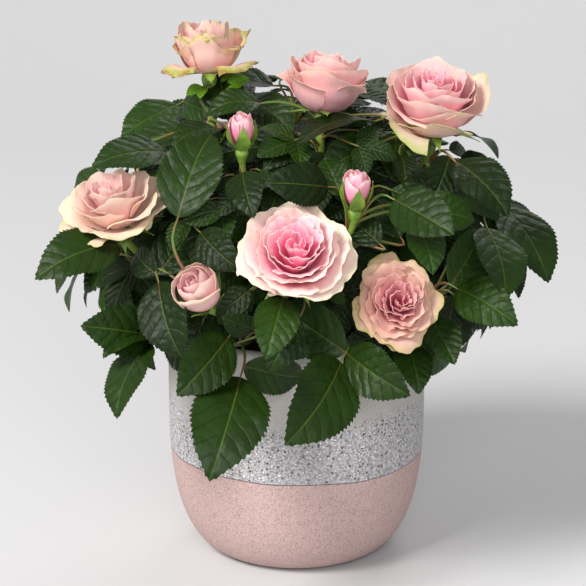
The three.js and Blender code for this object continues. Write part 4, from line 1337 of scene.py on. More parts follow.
def petal_grid(row, bearing, dice, cols, rows, heart):
    """The middle surface of a petal: a grid of places, with a tint at each."""
    rim_r, rim_z, belly_r, belly_z, span, roll, ruffle, pink, green = row
    inner = max(0.0, 1 - rim_r / HEART_RADIUS)
    rim_r *= 1 + (dice() - 0.5) * 0.18
    rim_z += (dice() - 0.5) * 0.05
    span *= 0.9 + dice() * 0.2
    phase, second = dice() * FULL_TURN, dice() * FULL_TURN
    overlap = 0.055 + 0.03 * dice() + 0.14 * inner
    lean = (dice() - 0.5) * 0.5
    s = np.linspace(-1, 1, cols + 1)[None, :]
    t = np.linspace(0, 1, rows + 1)[:, None] ** 0.85
    tip = 0.035 * np.exp(-((s - lean) / 0.16) ** 2) if roll > 0.02 else 0.0
    reach = t * (1 - 0.15 * np.abs(s - 0.3 * lean) ** 2.4 + tip)
    r, z = profile_place((rim_r, rim_z, belly_r, belly_z), reach)
    near_rim = share_from(t, 0.45) ** 1.4
    wave = (np.sin(2.6 * s + phase) * 0.7 + np.sin(5.6 * s + second) * 0.4
            + np.sin(11.0 * s + phase) * 0.24)
    crinkle = np.sin(19.0 * s + second + 2.0 * phase * t) * share_from(t, 0.7)
    r = r + ruffle * wave * near_rim + (0.12 * ruffle + 0.003) * crinkle
    z = z + ruffle * 0.9 * np.cos(4.1 * s + second) * near_rim
    z = z + 0.10 * ruffle * np.sin(14.0 * s + phase) * near_rim
    curl = share_from(t, 0.72)
    uneven = 0.7 + 0.3 * np.abs(s) + 0.35 * np.sin(1.7 * s + second)
    r = r + roll * np.sin(curl * 1.5) * uneven
    z = z - roll * 1.1 * curl**2 * uneven
    r = r * (1 + overlap * s)
    width = 0.3 + 0.7 * np.clip(t / 0.5, 0, 1) ** 0.8
    angle = math.radians(bearing) + math.radians(span) * s * width
    x = r * np.cos(angle) + inner * heart[0] + inner * 0.02 * (dice() - 0.5)
    y = r * np.sin(angle) + inner * heart[1] + inner * 0.02 * (dice() - 0.5)
    places = np.stack([x, y, z + 0 * s], axis=-1)
    edge = share_from(np.abs(s), 0.6) ** 2 * np.clip(t * 1.6 - 0.5, 0, 1)
    rim = np.maximum(share_from(t, 0.78) ** 1.5, edge * 0.7) + 0 * s
    blush = pink * (0.42 + 0.75 * (1 - t) ** 0.8) + 0 * s
    return places, np.clip(blush - 0.10 * rim, 0, 1), green * rim


# %% One petal as a closed shell round that surface, thinner towards the rim
PETAL_THICK = 0.5


def petal_shell(grid, thick):
    """Vertices and faces of the shell, with its rim closed."""
    rows, cols = grid.shape[:2]
    down = np.gradient(grid, axis=0)
    over = np.gradient(grid, axis=1)
    normal = np.cross(over, down)
    normal /= np.maximum(np.linalg.norm(normal, axis=2, keepdims=True), 1e-9)
    taper = np.linspace(1.0, 0.4, rows)[:, None, None] * (thick / 2)
    front = (grid + normal * taper).reshape(-1, 3)
    back = (grid - normal * taper).reshape(-1, 3)
    index = np.arange(rows * cols).reshape(rows, cols)
    a, b, c, d = index[:-1, :-1], index[:-1, 1:], index[1:, 1:], index[1:, :-1]
    quads = np.stack([a, b, c, d], axis=-1).reshape(-1, 4)
    under = quads[:, ::-1] + rows * cols
    border = np.concatenate([index[0, :-1], index[:-1, -1], index[-1, :0:-1], index[:0:-1, 0]])
    after = np.roll(border, -1)
    rim = np.stack([after, border, border + rows * cols, after + rows * cols], axis=-1)
    return np.concatenate([front, back]), np.concatenate([quads, under, rim])

# %% [markdown]
# ## Finish of the petals
# A petal of this rose is blush pink at its foot, paler outwards, cream and green at the
# rim, and the oldest ones turn brown there. One colour for all would look like paper, and
# an image is not needed, because every corner of a petal carries three values: how pink it
# is, how green its edge is, and how aged and shaded the flower is. That last value turns a
# flower a darker peach, partly for its age and partly as painted shade. Light goes a little
# way into a petal, so it is never quite dark.

# %% Finish of the petals
BLUSHES = [
    (0.02, 0.30, paint(252, 212, 204)),
    (0.30, 0.70, paint(255, 174, 196)),
    (0.70, 1.05, paint(255, 128, 170)),
]
CREAM = paint(247, 230, 202)
# The darker peach and the olive rim are partly an older flower's colour and partly painted shade.
FADED_AND_SHADED = paint(193, 115, 83)
GREEN_RIM, OLD_AND_SHADED_RIM, BROWN_RIM = paint(206, 202, 140), paint(158, 156, 70), paint(148, 116, 58)


def petal_streaks(skin):
    """Fine lines that run from a petal's base to its rim."""
    uv = add_node(skin, "ShaderNodeUVMap", uv_map="petal").outputs["UV"]
    stretch = add_node(skin, "ShaderNodeMapping", {"Vector": uv, "Scale": (26.0, 1.8, 1.0)})
    return noise(skin, stretch.outputs["Vector"], 1.0)


def corner_value(skin, label):
    return add_node(skin, "ShaderNodeAttribute", attribute_name=label).outputs["Fac"]


def petal_finish():
    skin = new_material("petals", paint(250, 220, 216), 0.5, Subsurface_Weight=0.35,
                        Subsurface_Scale=0.004, Specular_IOR_Level=0.3)
    set_input(skin, "Subsurface Radius", (1.0, 0.6, 0.7))
    blush, green, aged = [corner_value(skin, label) for label in ("blush", "green_edge", "aged")]
    streak = petal_streaks(skin)
    patch = spread(skin, object_noise(skin, 220.0, 2.0), 0.3, 0.7, -0.06, 0.06)
    blush = math_node(skin, "ADD", blush, patch)
    blush = math_node(skin, "ADD", blush, spread(skin, streak, 0.3, 0.7, -0.07, 0.07))
    colour = CREAM
    for low, high, pink in BLUSHES:
        colour = blend(skin, spread(skin, blush, low, high), colour, pink)
    # Towards a darker peach, away from the heart: partly the flower's age, partly painted shade.
    fade_and_shade = times(skin, aged, spread(skin, blush, 0.0, 1.0, 0.6, 0.15))
    colour = blend(skin, fade_and_shade, colour, FADED_AND_SHADED)
    fleck = spread(skin, object_noise(skin, 190.0, 2.0), 0.35, 0.65, 0.55, 1.25)
    edge = times(skin, green, fleck)
    edge_hue = blend(skin, aged, GREEN_RIM, OLD_AND_SHADED_RIM)
    colour = blend(skin, spread(skin, edge, 0.10, 0.85), colour, edge_hue)
    colour = blend(skin, spread(skin, edge, 1.05, 1.4), colour, BROWN_RIM)
    set_input(skin, "Base Color", colour)
    add_bump(skin, streak, 0.0005, 0.35)
    return skin


PETAL_FINISH = petal_finish()
print("petals go from cream to pink in", len(BLUSHES), "steps")

# %% [markdown]
# ## Flowers at their own places
# A bloom's solid is one plain closed shape, with room kept round it. The real flowers are
# a little smaller and stand in front of the leaves, and the small ones at the back hang
# lower, out of sight from the front. So a flower moves off its solid, by 17 mm at most in
# front and by up to 30 mm at the back, and the end of its stem moves with it.

# %% How far each flower moves, its size against the solid's, and how narrow it is
OWN_PLACE = {
    "upper_left": ((2.4, 0, 3.8), 0.92, 1.0),
    "upper_middle": ((0, 0, 2.2), 1.0, 1.0),
    "upper_right": ((-2.0, 0, 5.0), 0.88, 1.0),
    "left": ((-1.0, -14.0, 10.2), 0.91, 1.0),
    "middle": ((-0.6, -13.0, 3.4), 0.90, 1.0),
    "front_right": ((0.6, -7.0, 2.4), 0.88, 0.88),
    "left_front": ((3.2, 0, -2.6), 0.92, 1.0),
    "far_left": ((8.0, 24.0, -16.0), 0.85, 1.0),
    "back_left": ((0, 4.0, -8.0), 0.96, 1.0),
    "back_right": ((0, 4.0, -10.0), 0.96, 1.0),
    "far_right": ((-8.0, 20.0, -12.0), 0.85, 1.0),
}
for stem in STEMS:
    move, size, stem["narrow"] = OWN_PLACE.get(stem["name"], ((0, 0, 0), 1.0, 1.0))
    if "bears" in stem:
        stem["across"] *= size
        stem["end"] = stem["end"] + vec(*move)
        stem["curve"] = [*stem["curve"][:3], stem["end"]]
furthest = max(math.hypot(*move) for move, _, _ in OWN_PLACE.values())
print(len(OWN_PLACE), "flowers moved, by up to", round(furthest, 1), "mm")

# %% Tints of each flower, and how finely its petals are made: steps across and from base to rim
# How pink, how green at its edge, and how aged and shaded it is; the last is partly painted shade
TINTS = {
    "upper_left": (1.0, 1.35, 1.0),
    "upper_middle": (1.35, 0.5, 0.95),
    "upper_right": (1.35, 0.9, 0.6),
    "left": (0.85, 0.62, 0.5),
    "middle": (1.45, 0.42, 0.05),
    "front_right": (1.1, 0.85, 1.1),
    "left_front": (1.1, 0.6, 0.7),
    "left_bud": (1.1, 0.3, 0.6),
    "right_bud": (1.1, 0.3, 0.6),
}
PLAIN_TINTS = (0.85, 0.6, 0.5)
PETAL_STEPS = {"bloom": (22, 12), "cup": (22, 12), "half": (20, 12), "bud": (16, 11)}
HEART_OFF = 0.035
FLOWER_SEED = {"first": 900, "step": 17}

# %% Assemble a flower: its petals, turned to look where the flower looks
def flower_axes(stem):
    w = stem["looks"]
    u = square(vec(1, 0, 0) if abs(w[2]) > 0.9 else vec(0, 0, 1), w)
    return u, cross(w, u), w


def make_flower(stem, dice):
    u, v, w = flower_axes(stem)
    cols, rows = PETAL_STEPS[stem["bears"]]
    pinkness, green_edge, age = TINTS.get(stem["name"], PLAIN_TINTS)
    vertices, faces, blushes, greens, uvs = [], [], [], [], []
    total = 0
    off = dice() * 2 * math.pi
    heart = HEART_OFF * math.cos(off), HEART_OFF * math.sin(off)
    s, t = np.meshgrid(np.linspace(0, 1, cols + 1), np.linspace(0, 1, rows + 1))
    for number, (bearing, row) in enumerate(petals_of(stem)):
        grid, blush, green = petal_grid(row, bearing + (dice() - 0.5) * 16, dice, cols, rows, heart)
        shell, quads = petal_shell(grid * stem["across"], PETAL_THICK)
        vertices.append(shell)
        faces.append(quads + total)
        total += len(shell)
        blushes += [blush.ravel() * pinkness] * 2
        greens += [green.ravel() * green_edge] * 2
        uvs += [np.stack([s.ravel() + 1.7 * number, t.ravel()], axis=1)] * 2
    local = np.concatenate(vertices)
    world = stem["end"] + local[:, :1] * u + local[:, 1:2] * v * stem["narrow"] + local[:, 2:] * w
    piece = mesh_object("petals_" + stem["name"], world * MM, np.concatenate(faces))
    mesh = piece.data
    point_values(mesh, blush=("FLOAT", np.clip(np.concatenate(blushes), 0, 1)),
                 green_edge=("FLOAT", np.concatenate(greens)), aged=("FLOAT", [age] * len(world)))
    layer = mesh.uv_layers.new(name="petal")
    corner = np.zeros(len(mesh.loops), int)
    mesh.loops.foreach_get("vertex_index", corner)
    layer.data.foreach_set("uv", np.concatenate(uvs)[corner].ravel())
    mesh.set_sharp_from_angle(angle=math.radians(60))
    mesh.materials.append(PETAL_FINISH)
    return piece


flower_pieces = {}
for stem in STEMS:
    if "bears" in stem:
        dice = make_dice(FLOWER_SEED["first"] + stem["number"] * FLOWER_SEED["step"])
        flower_pieces[stem["name"]] = make_flower(stem, dice)
petal_triangles = sum(count_triangles(piece) for piece in flower_pieces.values())
print(len(flower_pieces), "flowers,", petal_triangles, "triangles of petals")

# %% [markdown]
# ## Sepals and hips
# Under every flower sits a small green urn, the hip, and from its rim grow five narrow
# sepals. They hug a bud and fold back under an open flower. The hip is a turned shape and
# the sepals are closed blades like the leaflets. On a bud they follow the profile of the
# petals inside them, a little further out, so they lie on it without cutting in.

# %% The two ways in which a sepal lies
SEPAL_ROWS = 10
SEPAL_WIDTH = {"bloom": 2.6, "cup": 3.4, "half": 3.3, "bud": 4.2}
HUGS_UP_TO = {"half": 0.62, "bud": 0.88}
FLARES = {"half": 2.6, "bud": 0.4}
FOLDED = {
    "bloom": {"long": 0.36, "start": -22, "bend": -26},
    "cup": {"long": 0.42, "start": 2, "bend": -20},
}
HIP_RIM = 2.6


def hugging_path(stem, spoke, dice):
    """Centre line along the outermost petals, whose tip stands off a little."""
    row = petals_of(stem)[0][1]
    last = HUGS_UP_TO[stem["bears"]] * (0.9 + 0.2 * dice())
    flare = FLARES[stem["bears"]] + 1.4 * dice()
    points = []
    for i in range(SEPAL_ROWS + 1):
        share = i / SEPAL_ROWS
        r, z = profile_place(row, 0.06 + (last - 0.06) * share)
        out = max(HIP_RIM, r * stem["across"] + 0.7) + flare * share**4
        points.append(stem["end"] + spoke * out + stem["looks"] * (z * stem["across"] + 0.3 * share))
    return points


def folded_path(stem, spoke, dice):
    """Centre line of a sepal that hangs back from an open flower."""
    habit = FOLDED[stem["bears"]]
    length = habit["long"] * stem["across"] * (0.9 + 0.25 * dice())
    start = habit["start"] + dice() * 16
    bend = habit["bend"] * (0.8 + 0.4 * dice())
    place = spoke * HIP_RIM + stem["looks"] * 0.6
    points = []
    for i in range(SEPAL_ROWS + 1):
        rise = math.radians(start + bend * min(1.0, 1.8 * i / SEPAL_ROWS))
        points.append(stem["end"] + place)
        place = place + (spoke * math.cos(rise) + stem["looks"] * math.sin(rise)) * (length / SEPAL_ROWS)
    return points


# %% Five sepals as closed shells with four corners to a row
def sepal_half_widths(stem):
    t = np.linspace(0, 1, SEPAL_ROWS + 1)
    swell = np.sin(math.pi * np.clip(t * 0.8 + 0.2, 0, 1)) ** 0.8 * (1 - t**3)
    return SEPAL_WIDTH[stem["bears"]] * np.clip(swell, 0.03, None)


def make_sepals(stem, dice):
    u, _, w = flower_axes(stem)
    hugs = stem["bears"] in HUGS_UP_TO
    path = hugging_path if hugs else folded_path
    vertices, faces = [], []
    first = dice() * 360
    for i in range(5):
        spoke = turned(u, w, first + 72 * i + (dice() - 0.5) * 14)
        beside = cross(w, spoke)
        points = np.array(path(stem, spoke, dice))
        ways = np.gradient(points, axis=0)
        ways /= np.linalg.norm(ways, axis=1, keepdims=True)
        ups = np.cross(beside, ways)
        base = len(vertices)
        for p, up, h in zip(points, ups, sepal_half_widths(stem)):
            sag = 0.22 * h if hugs else 0.0
            vertices += [p - beside * h + up * sag, p - up * 0.25, p + beside * h + up * sag, p + up * 0.3]
        for r in range(SEPAL_ROWS):
            a, b = base + 4 * r, base + 4 * r + 4
            for k in range(4):
                n = (k + 1) % 4
                faces.append((a + k, a + n, b + n, b + k))
        faces.append((base + 3, base + 2, base + 1, base))
        last = base + 4 * SEPAL_ROWS
        faces.append((last, last + 1, last + 2, last + 3))
    return vertices, faces


# %% A shape turned round an axis, as on a lathe
def turned_shape(profile, centre, axes, sides):
    """A closed shape turned round an axis from (radius, height) rows, both ends on the axis."""
    u, v, w = axes
    vertices = [centre + w * profile[0][1]]
    for r, z in profile[1:-1]:
        for k in range(sides):
            a = 2 * math.pi * k / sides
            vertices.append(centre + (u * math.cos(a) + v * math.sin(a)) * r + w * z)
    vertices.append(centre + w * profile[-1][1])
    last = len(vertices) - 1
    faces = [(0, 1 + (k + 1) % sides, 1 + k) for k in range(sides)]
    for ring in range(len(profile) - 3):
        a, b = 1 + ring * sides, 1 + (ring + 1) * sides
        faces += [(a + k, a + (k + 1) % sides, b + (k + 1) % sides, b + k) for k in range(sides)]
    top = last - sides
    faces += [(last, top + k, top + (k + 1) % sides) for k in range(sides)]
    return vertices, faces


# %% Make the hips and sepals of every flower; a hip is as wide and deep as given, in millimetres
HIP = {"bloom": (4.1, 9.0), "cup": (4.3, 9.5), "half": (3.9, 8.0), "bud": (3.6, 7.0)}
HIP_SIDES = 14
SEPAL_SEED = 300
SEPAL_FINISH = new_material("sepals_and_hips", paint(100, 136, 44), 0.5)
sepal_colour = mottled(SEPAL_FINISH, 180.0, 3.0, paint(80, 116, 34), paint(134, 164, 62))
set_input(SEPAL_FINISH, "Base Color", sepal_colour)
add_bump(SEPAL_FINISH, object_noise(SEPAL_FINISH, 1500.0), 0.0004, 0.5)


def hip_profile(wide, deep):
    return [(0, -deep), (2.0, -deep), (2.3, -deep * 0.85), (wide * 0.85, -deep * 0.6),
            (wide, -deep * 0.3), (wide * 0.94, -deep * 0.08), (wide * 0.7, 0.5), (0, 0.8)]


green_vertices, green_faces = [], []
for stem in STEMS:
    if "bears" not in stem:
        continue
    profile = hip_profile(*HIP[stem["bears"]])
    hip = turned_shape(profile, stem["end"], flower_axes(stem), HIP_SIDES)
    for vertices, faces in (hip, make_sepals(stem, make_dice(SEPAL_SEED + stem["number"]))):
        green_faces += [tuple(n + len(green_vertices) for n in face) for face in faces]
        green_vertices += vertices
sepals = mesh_object("sepals_and_hips", [p * MM for p in green_vertices], green_faces)
sepals.data.set_sharp_from_angle(angle=math.radians(60))
sepals.data.materials.append(SEPAL_FINISH)
print("sepals and hips have", count_triangles(sepals), "triangles")

# %% [markdown]
# ## Canes and flower stems
# The young wood is green where the sun reaches it and brownish near the soil, smooth, with
# a few prickles. One limb runs the whole way from the woody stem to each flower or tip, so
# nothing shows where the solids have a gap between the cane and its mass.

# %% Finish of the canes: brown near the soil, green above
CANE_GREENS_FROM, CANE_GREEN_AT = 0.125, 0.19
CANE_FINISH = new_material("green_bark", paint(92, 112, 44), 0.45)


def cane_colour(skin):
    parts = add_node(skin, "ShaderNodeSeparateXYZ", {0: place_on_piece(skin)})
    high = spread(skin, parts.outputs["Z"], CANE_GREENS_FROM, CANE_GREEN_AT)
    green = mottled(skin, 120.0, 3.0, paint(96, 124, 44), paint(136, 160, 66))
    brown = mottled(skin, 120.0, 3.0, paint(88, 70, 42), paint(112, 104, 56))
    return blend(skin, high, brown, green)


set_input(CANE_FINISH, "Base Color", cane_colour(CANE_FINISH))
add_bump(CANE_FINISH, object_noise(CANE_FINISH, 1400.0, 4.0), 0.0004, 0.4)

# %% Limbs of the canes
CANE_FOOT, CANE_NECK = 2.6, 2.0
CANE_TIPS = {"bloom": 2.1, "cup": 2.5, "half": 1.9, "bud": 1.7}
LEAFY_TIP, LEAFY_END = 1.2, 0.4
CANE_STEPS, CANE_SIDES = 30, 10


def cane_radius(stem, t):
    """Thick at the foot; a stem with a flower stays stout up to its hip."""
    tip = CANE_TIPS.get(stem.get("bears"), LEAFY_TIP)
    if t < CANE_SHARE:
        return CANE_FOOT + (CANE_NECK - CANE_FOOT) * t / CANE_SHARE
    return CANE_NECK + (tip - CANE_NECK) * (t - CANE_SHARE) / (1 - CANE_SHARE)


def cane_path(stem):
    shares = [i / CANE_STEPS for i in range(CANE_STEPS + 1)]
    radii = [cane_radius(stem, t) for t in shares]
    if "bears" not in stem:
        radii[-1] = LEAFY_END
    return [curve_point(stem["curve"], t) for t in shares], radii


canes = draw_limbs("canes", [cane_path(stem) for stem in STEMS], CANE_FINISH, CANE_SIDES)

# %% [markdown]
# ## Prickles
# This rose has a few small reddish prickles on every cane, bent down at the tip. Modelling
# them one by one would be dull work, so one bent cone is made and the scatter tree puts it
# at places that a dice picks along each stem.

# %% One prickle, 1 long: a cone with a waist, bent down at its point
PRICKLE_SIDES = 6
PRICKLE_FOOT = 0.26
PRICKLE_WAIST = {"narrower": 0.35, "out": 0.55, "down": 0.05}
PRICKLE_POINT = (0.0, 1.0, -0.25)


def prickle_form():
    ring = [2 * math.pi * k / PRICKLE_SIDES for k in range(PRICKLE_SIDES)]
    corners = [(PRICKLE_FOOT * math.cos(a), 0.0, PRICKLE_FOOT * math.sin(a)) for a in ring]
    narrower = PRICKLE_WAIST["narrower"]
    waist = [(narrower * x, PRICKLE_WAIST["out"], narrower * z - PRICKLE_WAIST["down"])
             for x, _, z in corners]
    faces = [tuple(range(PRICKLE_SIDES))]
    for k in range(PRICKLE_SIDES):
        n = (k + 1) % PRICKLE_SIDES
        faces.append((PRICKLE_SIDES + k, PRICKLE_SIDES + n, n, k))
        faces.append((2 * PRICKLE_SIDES, PRICKLE_SIDES + n, PRICKLE_SIDES + k))
    return mesh_object("prickle", [*corners, *waist, PRICKLE_POINT], faces)


prickle = prickle_form()
prickle_forms = bpy.data.collections.new("prickle_forms")
SCENE.collection.children.link(prickle_forms)
SCENE.collection.objects.unlink(prickle)
prickle_forms.objects.link(prickle)
print("loose edges of a prickle:", loose_edges(prickle))

# %% Scatter the prickles along the canes
PRICKLES_EACH = 5
PRICKLES_ALONG = {"from": 0.12, "over": 0.75}
PRICKLE_SUNK = 0.85
PRICKLE_SEED = 515

dice = make_dice(PRICKLE_SEED)
places, turns, longs = [], [], []
for stem in STEMS:
    for i in range(PRICKLES_EACH):
        t = PRICKLES_ALONG["from"] + PRICKLES_ALONG["over"] * (i + dice()) / PRICKLES_EACH
        along = curve_heading(stem["curve"], t)
        out = turned(square(vec(0, 0, 1), along), along, dice() * 360)
        places.append(curve_point(stem["curve"], t) + out * (cane_radius(stem, t) * PRICKLE_SUNK))
        turns.append(frame_turn(cross(out, along), out, along))
        longs.append(1.8 + 1.2 * dice())
PRICKLE_FINISH = new_material("prickle", paint(140, 78, 58), 0.5)
one_form = [0] * len(places)
prickles = scatter("prickles", prickle_forms, places, turns, longs, one_form, PRICKLE_FINISH, PRICKLE_FINISH)
clear_forms(prickle_forms)
print(len(places), "prickles")

# %% [markdown]
# ## The woody stem
# At the foot of the canes is a short stump of older wood with cracked bark and a flared
# foot. It is a lofted tube whose rings are pushed in and out by a few waves that run along
# it, which gives the ridges of the bark a real edge, and a fine bump does the rest.

# %% Woody stem with ridged bark
WOOD = {"sides": 48, "rings": 30, "foot": 0.4, "dome": 1.0, "crown": 0.8}
RIDGES = {"seed": 61, "waves": 7, "fewest": 5, "spread": 14, "deep": 0.55, "knots": 0.25, "twist": 0.12}


def bark_ridge(waves, a, height):
    """How far the bark stands out at an angle and a height, in millimetres."""
    turned_waves = [math.sin(n * a + phase + twist * height * RIDGES["twist"]) for n, phase, twist in waves]
    knot = 0.5 * math.sin(height * 0.9 + 2 * a) * math.sin(3 * a + height * 0.3)
    return RIDGES["deep"] * (sum(turned_waves) / len(waves)) + RIDGES["knots"] * knot


def make_woody_stem():
    sides, rings = WOOD["sides"], WOOD["rings"]
    dice = make_dice(RIDGES["seed"])
    waves = [(RIDGES["fewest"] + int(dice() * RIDGES["spread"]), dice() * FULL_TURN, dice() * 3 - 1.5)
             for _ in range(RIDGES["waves"])]
    vertices = []
    for i in range(rings + 1):
        height = WOOD["foot"] + (MAIN_STEM["height"] - WOOD["foot"]) * i / rings
        axis = main_stem_axis(height)
        for k in range(sides):
            a = 2 * math.pi * k / sides
            r = main_stem_radius(height) + bark_ridge(waves, a, height)
            if i == rings:
                r *= WOOD["crown"]
            vertices.append(axis + vec(math.cos(a) * r, math.sin(a) * r, 0.0))
    foot, crown = len(vertices), len(vertices) + 1
    vertices += [main_stem_axis(WOOD["foot"]), main_stem_axis(MAIN_STEM["height"] + WOOD["dome"])]
    faces = []
    for i in range(rings):
        a, b = i * sides, (i + 1) * sides
        faces += [(a + k, a + (k + 1) % sides, b + (k + 1) % sides, b + k) for k in range(sides)]
    faces += [(foot, (k + 1) % sides, k) for k in range(sides)]
    top = rings * sides
    faces += [(crown, top + k, top + (k + 1) % sides) for k in range(sides)]
    return mesh_object("woody_stem", [p * MM for p in vertices], faces)


BARK_FINISH = new_material("old_bark", paint(98, 76, 54), 0.85)
bark_colour = mottled(BARK_FINISH, 420.0, 5.0, paint(62, 46, 32), paint(134, 110, 82))
set_input(BARK_FINISH, "Base Color", bark_colour)
add_bump(BARK_FINISH, object_noise(BARK_FINISH, 700.0, 5.0), 0.0012, 0.8)
woody_stem = make_woody_stem()
woody_stem.data.materials.append(BARK_FINISH)
print("woody stem has", count_triangles(woody_stem), "triangles")

# %% [markdown]
# ## The pot
# The pot is thrown or cast, round at the foot, with upright sides and a rounded lip. It
# could be a cylinder with bevels, but its foot doesn't bend in an arc of a circle, so the
# whole wall, outside and inside, is one profile turned round the axis.

# %% Turn the pot
POT_SIDES = 128
POT_STEPS = {"bend": 34, "side": 8, "lip": 18, "inside": 4, "inner_bend": 8}
CLOSER_AT_FOOT = 1.7
AXES = (vec(1, 0, 0), vec(0, 1, 0), vec(0, 0, 1))


def pot_radius(z):
    if z >= POT["bend"]:
        return POT["radius"]
    rounded = math.sqrt(1 - (1 - z / POT["bend"]) ** POT["roundness"])
    return POT["foot"] + (POT["radius"] - POT["foot"]) * rounded


def bend_heights(steps, numbers):
    """Heights on the round foot, closer together near the ground."""
    return [POT["bend"] * (i / steps) ** CLOSER_AT_FOOT for i in numbers]


def lip_profile():
    half = POT["wall"] / 2
    r, z = POT["radius"] - half, POT["height"] - half
    angles = [math.radians(a) for a in range(0, 181, POT_STEPS["lip"])]
    return [(r + half * math.cos(a), z + half * math.sin(a)) for a in angles]


def make_pot():
    bend, wall, floor_z, top = POT["bend"], POT["wall"], POT["floor"], POT["height"]
    low, side, inside, inner = [POT_STEPS[key] for key in ("bend", "side", "inside", "inner_bend")]
    side_top, inside_top = top - 3.0, top - 4.0
    profile = [(0.0, 0.0), (POT["foot"] - 1.2, 0.0)]
    profile += [(pot_radius(z), z) for z in bend_heights(low, range(1, low + 1))]
    profile += [(POT["radius"], bend + (side_top - bend) * i / side) for i in range(1, side + 1)]
    profile += lip_profile()
    profile += [(POT["radius"] - wall, inside_top - (inside_top - bend) * i / inside)
                for i in range(1, inside + 1)]
    profile += [(pot_radius(z) - wall, z) for z in bend_heights(inner, range(inner - 1, 1, -1))]
    profile = [(r, z) for r, z in profile if z >= floor_z or r >= pot_radius(z) - 1.5 or z == 0.0]
    profile += [(0.0, floor_z)]
    vertices, faces = turned_shape(profile, vec(0, 0, 0), AXES, POT_SIDES)
    piece = mesh_object("glazed_pot", [p * MM for p in vertices], faces)
    piece.data.set_sharp_from_angle(angle=math.radians(40))
    return piece


pot = make_pot()
print("pot has", count_triangles(pot), "triangles")

# %% [markdown]
# ## Clay and glaze
# The lower part of the pot is bare pink clay, matt, with fine dark specks. The upper part
# carries a white glaze with a rough crust, white grains, small pits and ochre flecks, and
# it is smoother towards the rim. The glaze ends in a nearly level line where the pot was
# dipped, a little lower on one side. A picture wrapped round the pot would show a seam, so
# the line, specks and pits are worked out from the place on the pot, which needs no map.

# %% Where the glaze ends and where it turns smooth, in metres
GLAZE_LINE = 0.0594
GLAZE_TILT = -0.014
GLAZE_WOBBLE = 0.0012
SMOOTH_FROM = 0.092
SMOOTH_WOBBLE = 0.006


def cells(skin, scale):
    """A field of small cells: how far from a cell's middle, and the cell's own chance colour."""
    inputs = {"Vector": place_on_piece(skin), "Scale": scale}
    field = add_node(skin, "ShaderNodeTexVoronoi", inputs, feature="F1")
    chance = add_node(skin, "ShaderNodeSeparateColor", {0: field.outputs["Color"]})
    return field.outputs["Distance"], chance.outputs


def glaze_zones(skin):
    """How far a place lies in the glaze, and how far in its smooth band, from 0 to 1."""
    parts = add_node(skin, "ShaderNodeSeparateXYZ", {0: place_on_piece(skin)})
    wobble = spread(skin, object_noise(skin, 26.0, 2.0), 0.0, 1.0, -GLAZE_WOBBLE, GLAZE_WOBBLE)
    line = math_node(skin, "MULTIPLY_ADD", parts.outputs["X"], GLAZE_TILT, GLAZE_LINE)
    line = math_node(skin, "ADD", line, wobble)
    above = math_node(skin, "SUBTRACT", parts.outputs["Z"], line)
    wobble = spread(skin, object_noise(skin, 40.0), 0.3, 0.7, -SMOOTH_WOBBLE, SMOOTH_WOBBLE)
    band = math_node(skin, "ADD", parts.outputs["Z"], wobble)
    smooth = spread(skin, band, SMOOTH_FROM - 0.003, SMOOTH_FROM + 0.004)
    return spread(skin, above, -0.0002, 0.0004), smooth

# %% Bare clay with specks
def clay_colour(skin):
    distance, _ = cells(skin, 700.0)
    fine = spread(skin, distance, 0.18, 0.36, 1.0, 0.0)
    speck = times(skin, fine, spread(skin, object_noise(skin, 330.0, 1.0), 0.42, 0.50))
    grain = spread(skin, object_noise(skin, 1250.0, 3.0, 0.6), 0.36, 0.60)
    clay = blend(skin, grain, paint(172, 142, 137), paint(199, 172, 167))
    return blend(skin, times(skin, speck, 0.5), clay, paint(110, 80, 74))

# %% Crust, grains, pits and flecks of the glaze
def glaze_marks(skin):
    """The crust, the white grains, the dark pits and the ochre flecks, each from 0 to 1."""
    distance, chance = cells(skin, 460.0)
    white = times(skin, spread(skin, distance, 0.22, 0.40, 1.0, 0.0),
                  spread(skin, chance[0], 0.45, 0.55))
    distance, chance = cells(skin, 400.0)
    pit = spread(skin, distance, 0.17, 0.30, 1.0, 0.0)
    dark = times(skin, pit, spread(skin, chance[0], 0.40, 0.46))
    ochre = times(skin, pit, spread(skin, chance[1], 0.76, 0.80))
    return object_noise(skin, 820.0), white, dark, ochre


def glaze_colour(skin, smooth, crust, white, dark, ochre):
    mottle = spread(skin, object_noise(skin, 60.0, 5.0, 0.6), 0.4, 0.66, 0.0, 0.4)
    # The crust's crests are painted lighter and its hollows darker: painted light and shade of the relief,
    # partly a thinner glaze in the hollows.
    crust_light_and_shade = spread(skin, crust, 0.42, 0.58)
    rough = blend(skin, crust_light_and_shade, paint(148, 145, 149), paint(208, 206, 205))
    rough = blend(skin, mottle, rough, paint(176, 171, 178))
    rough = blend(skin, white, rough, paint(246, 244, 242))
    rough = blend(skin, times(skin, ochre, 0.75), rough, paint(158, 124, 74))
    rough = blend(skin, times(skin, dark, 0.85), rough, paint(88, 76, 64))
    # The smooth band near the rim is a darker grey than the glaze's light crests: partly the glaze's own
    # grey, partly painted shade of the leaves that hang over it.
    plain = blend(skin, times(skin, dark, 0.15), paint(180, 176, 172), paint(130, 110, 90))
    return blend(skin, smooth, rough, plain)


def glaze_relief(skin, smooth, crust, white, dark, ochre):
    pits = math_node(skin, "MAXIMUM", dark, ochre)
    rough = math_node(skin, "MULTIPLY_ADD", white, 0.5, crust)
    rough = math_node(skin, "MULTIPLY_ADD", pits, -0.7, rough)
    rough = times(skin, rough, spread(skin, smooth, 0.0, 1.0, 1.0, 0.06))
    gentle = times(skin, object_noise(skin, 110.0, 2.0), 0.3)
    return math_node(skin, "ADD", math_node(skin, "ADD", rough, gentle), 0.6)

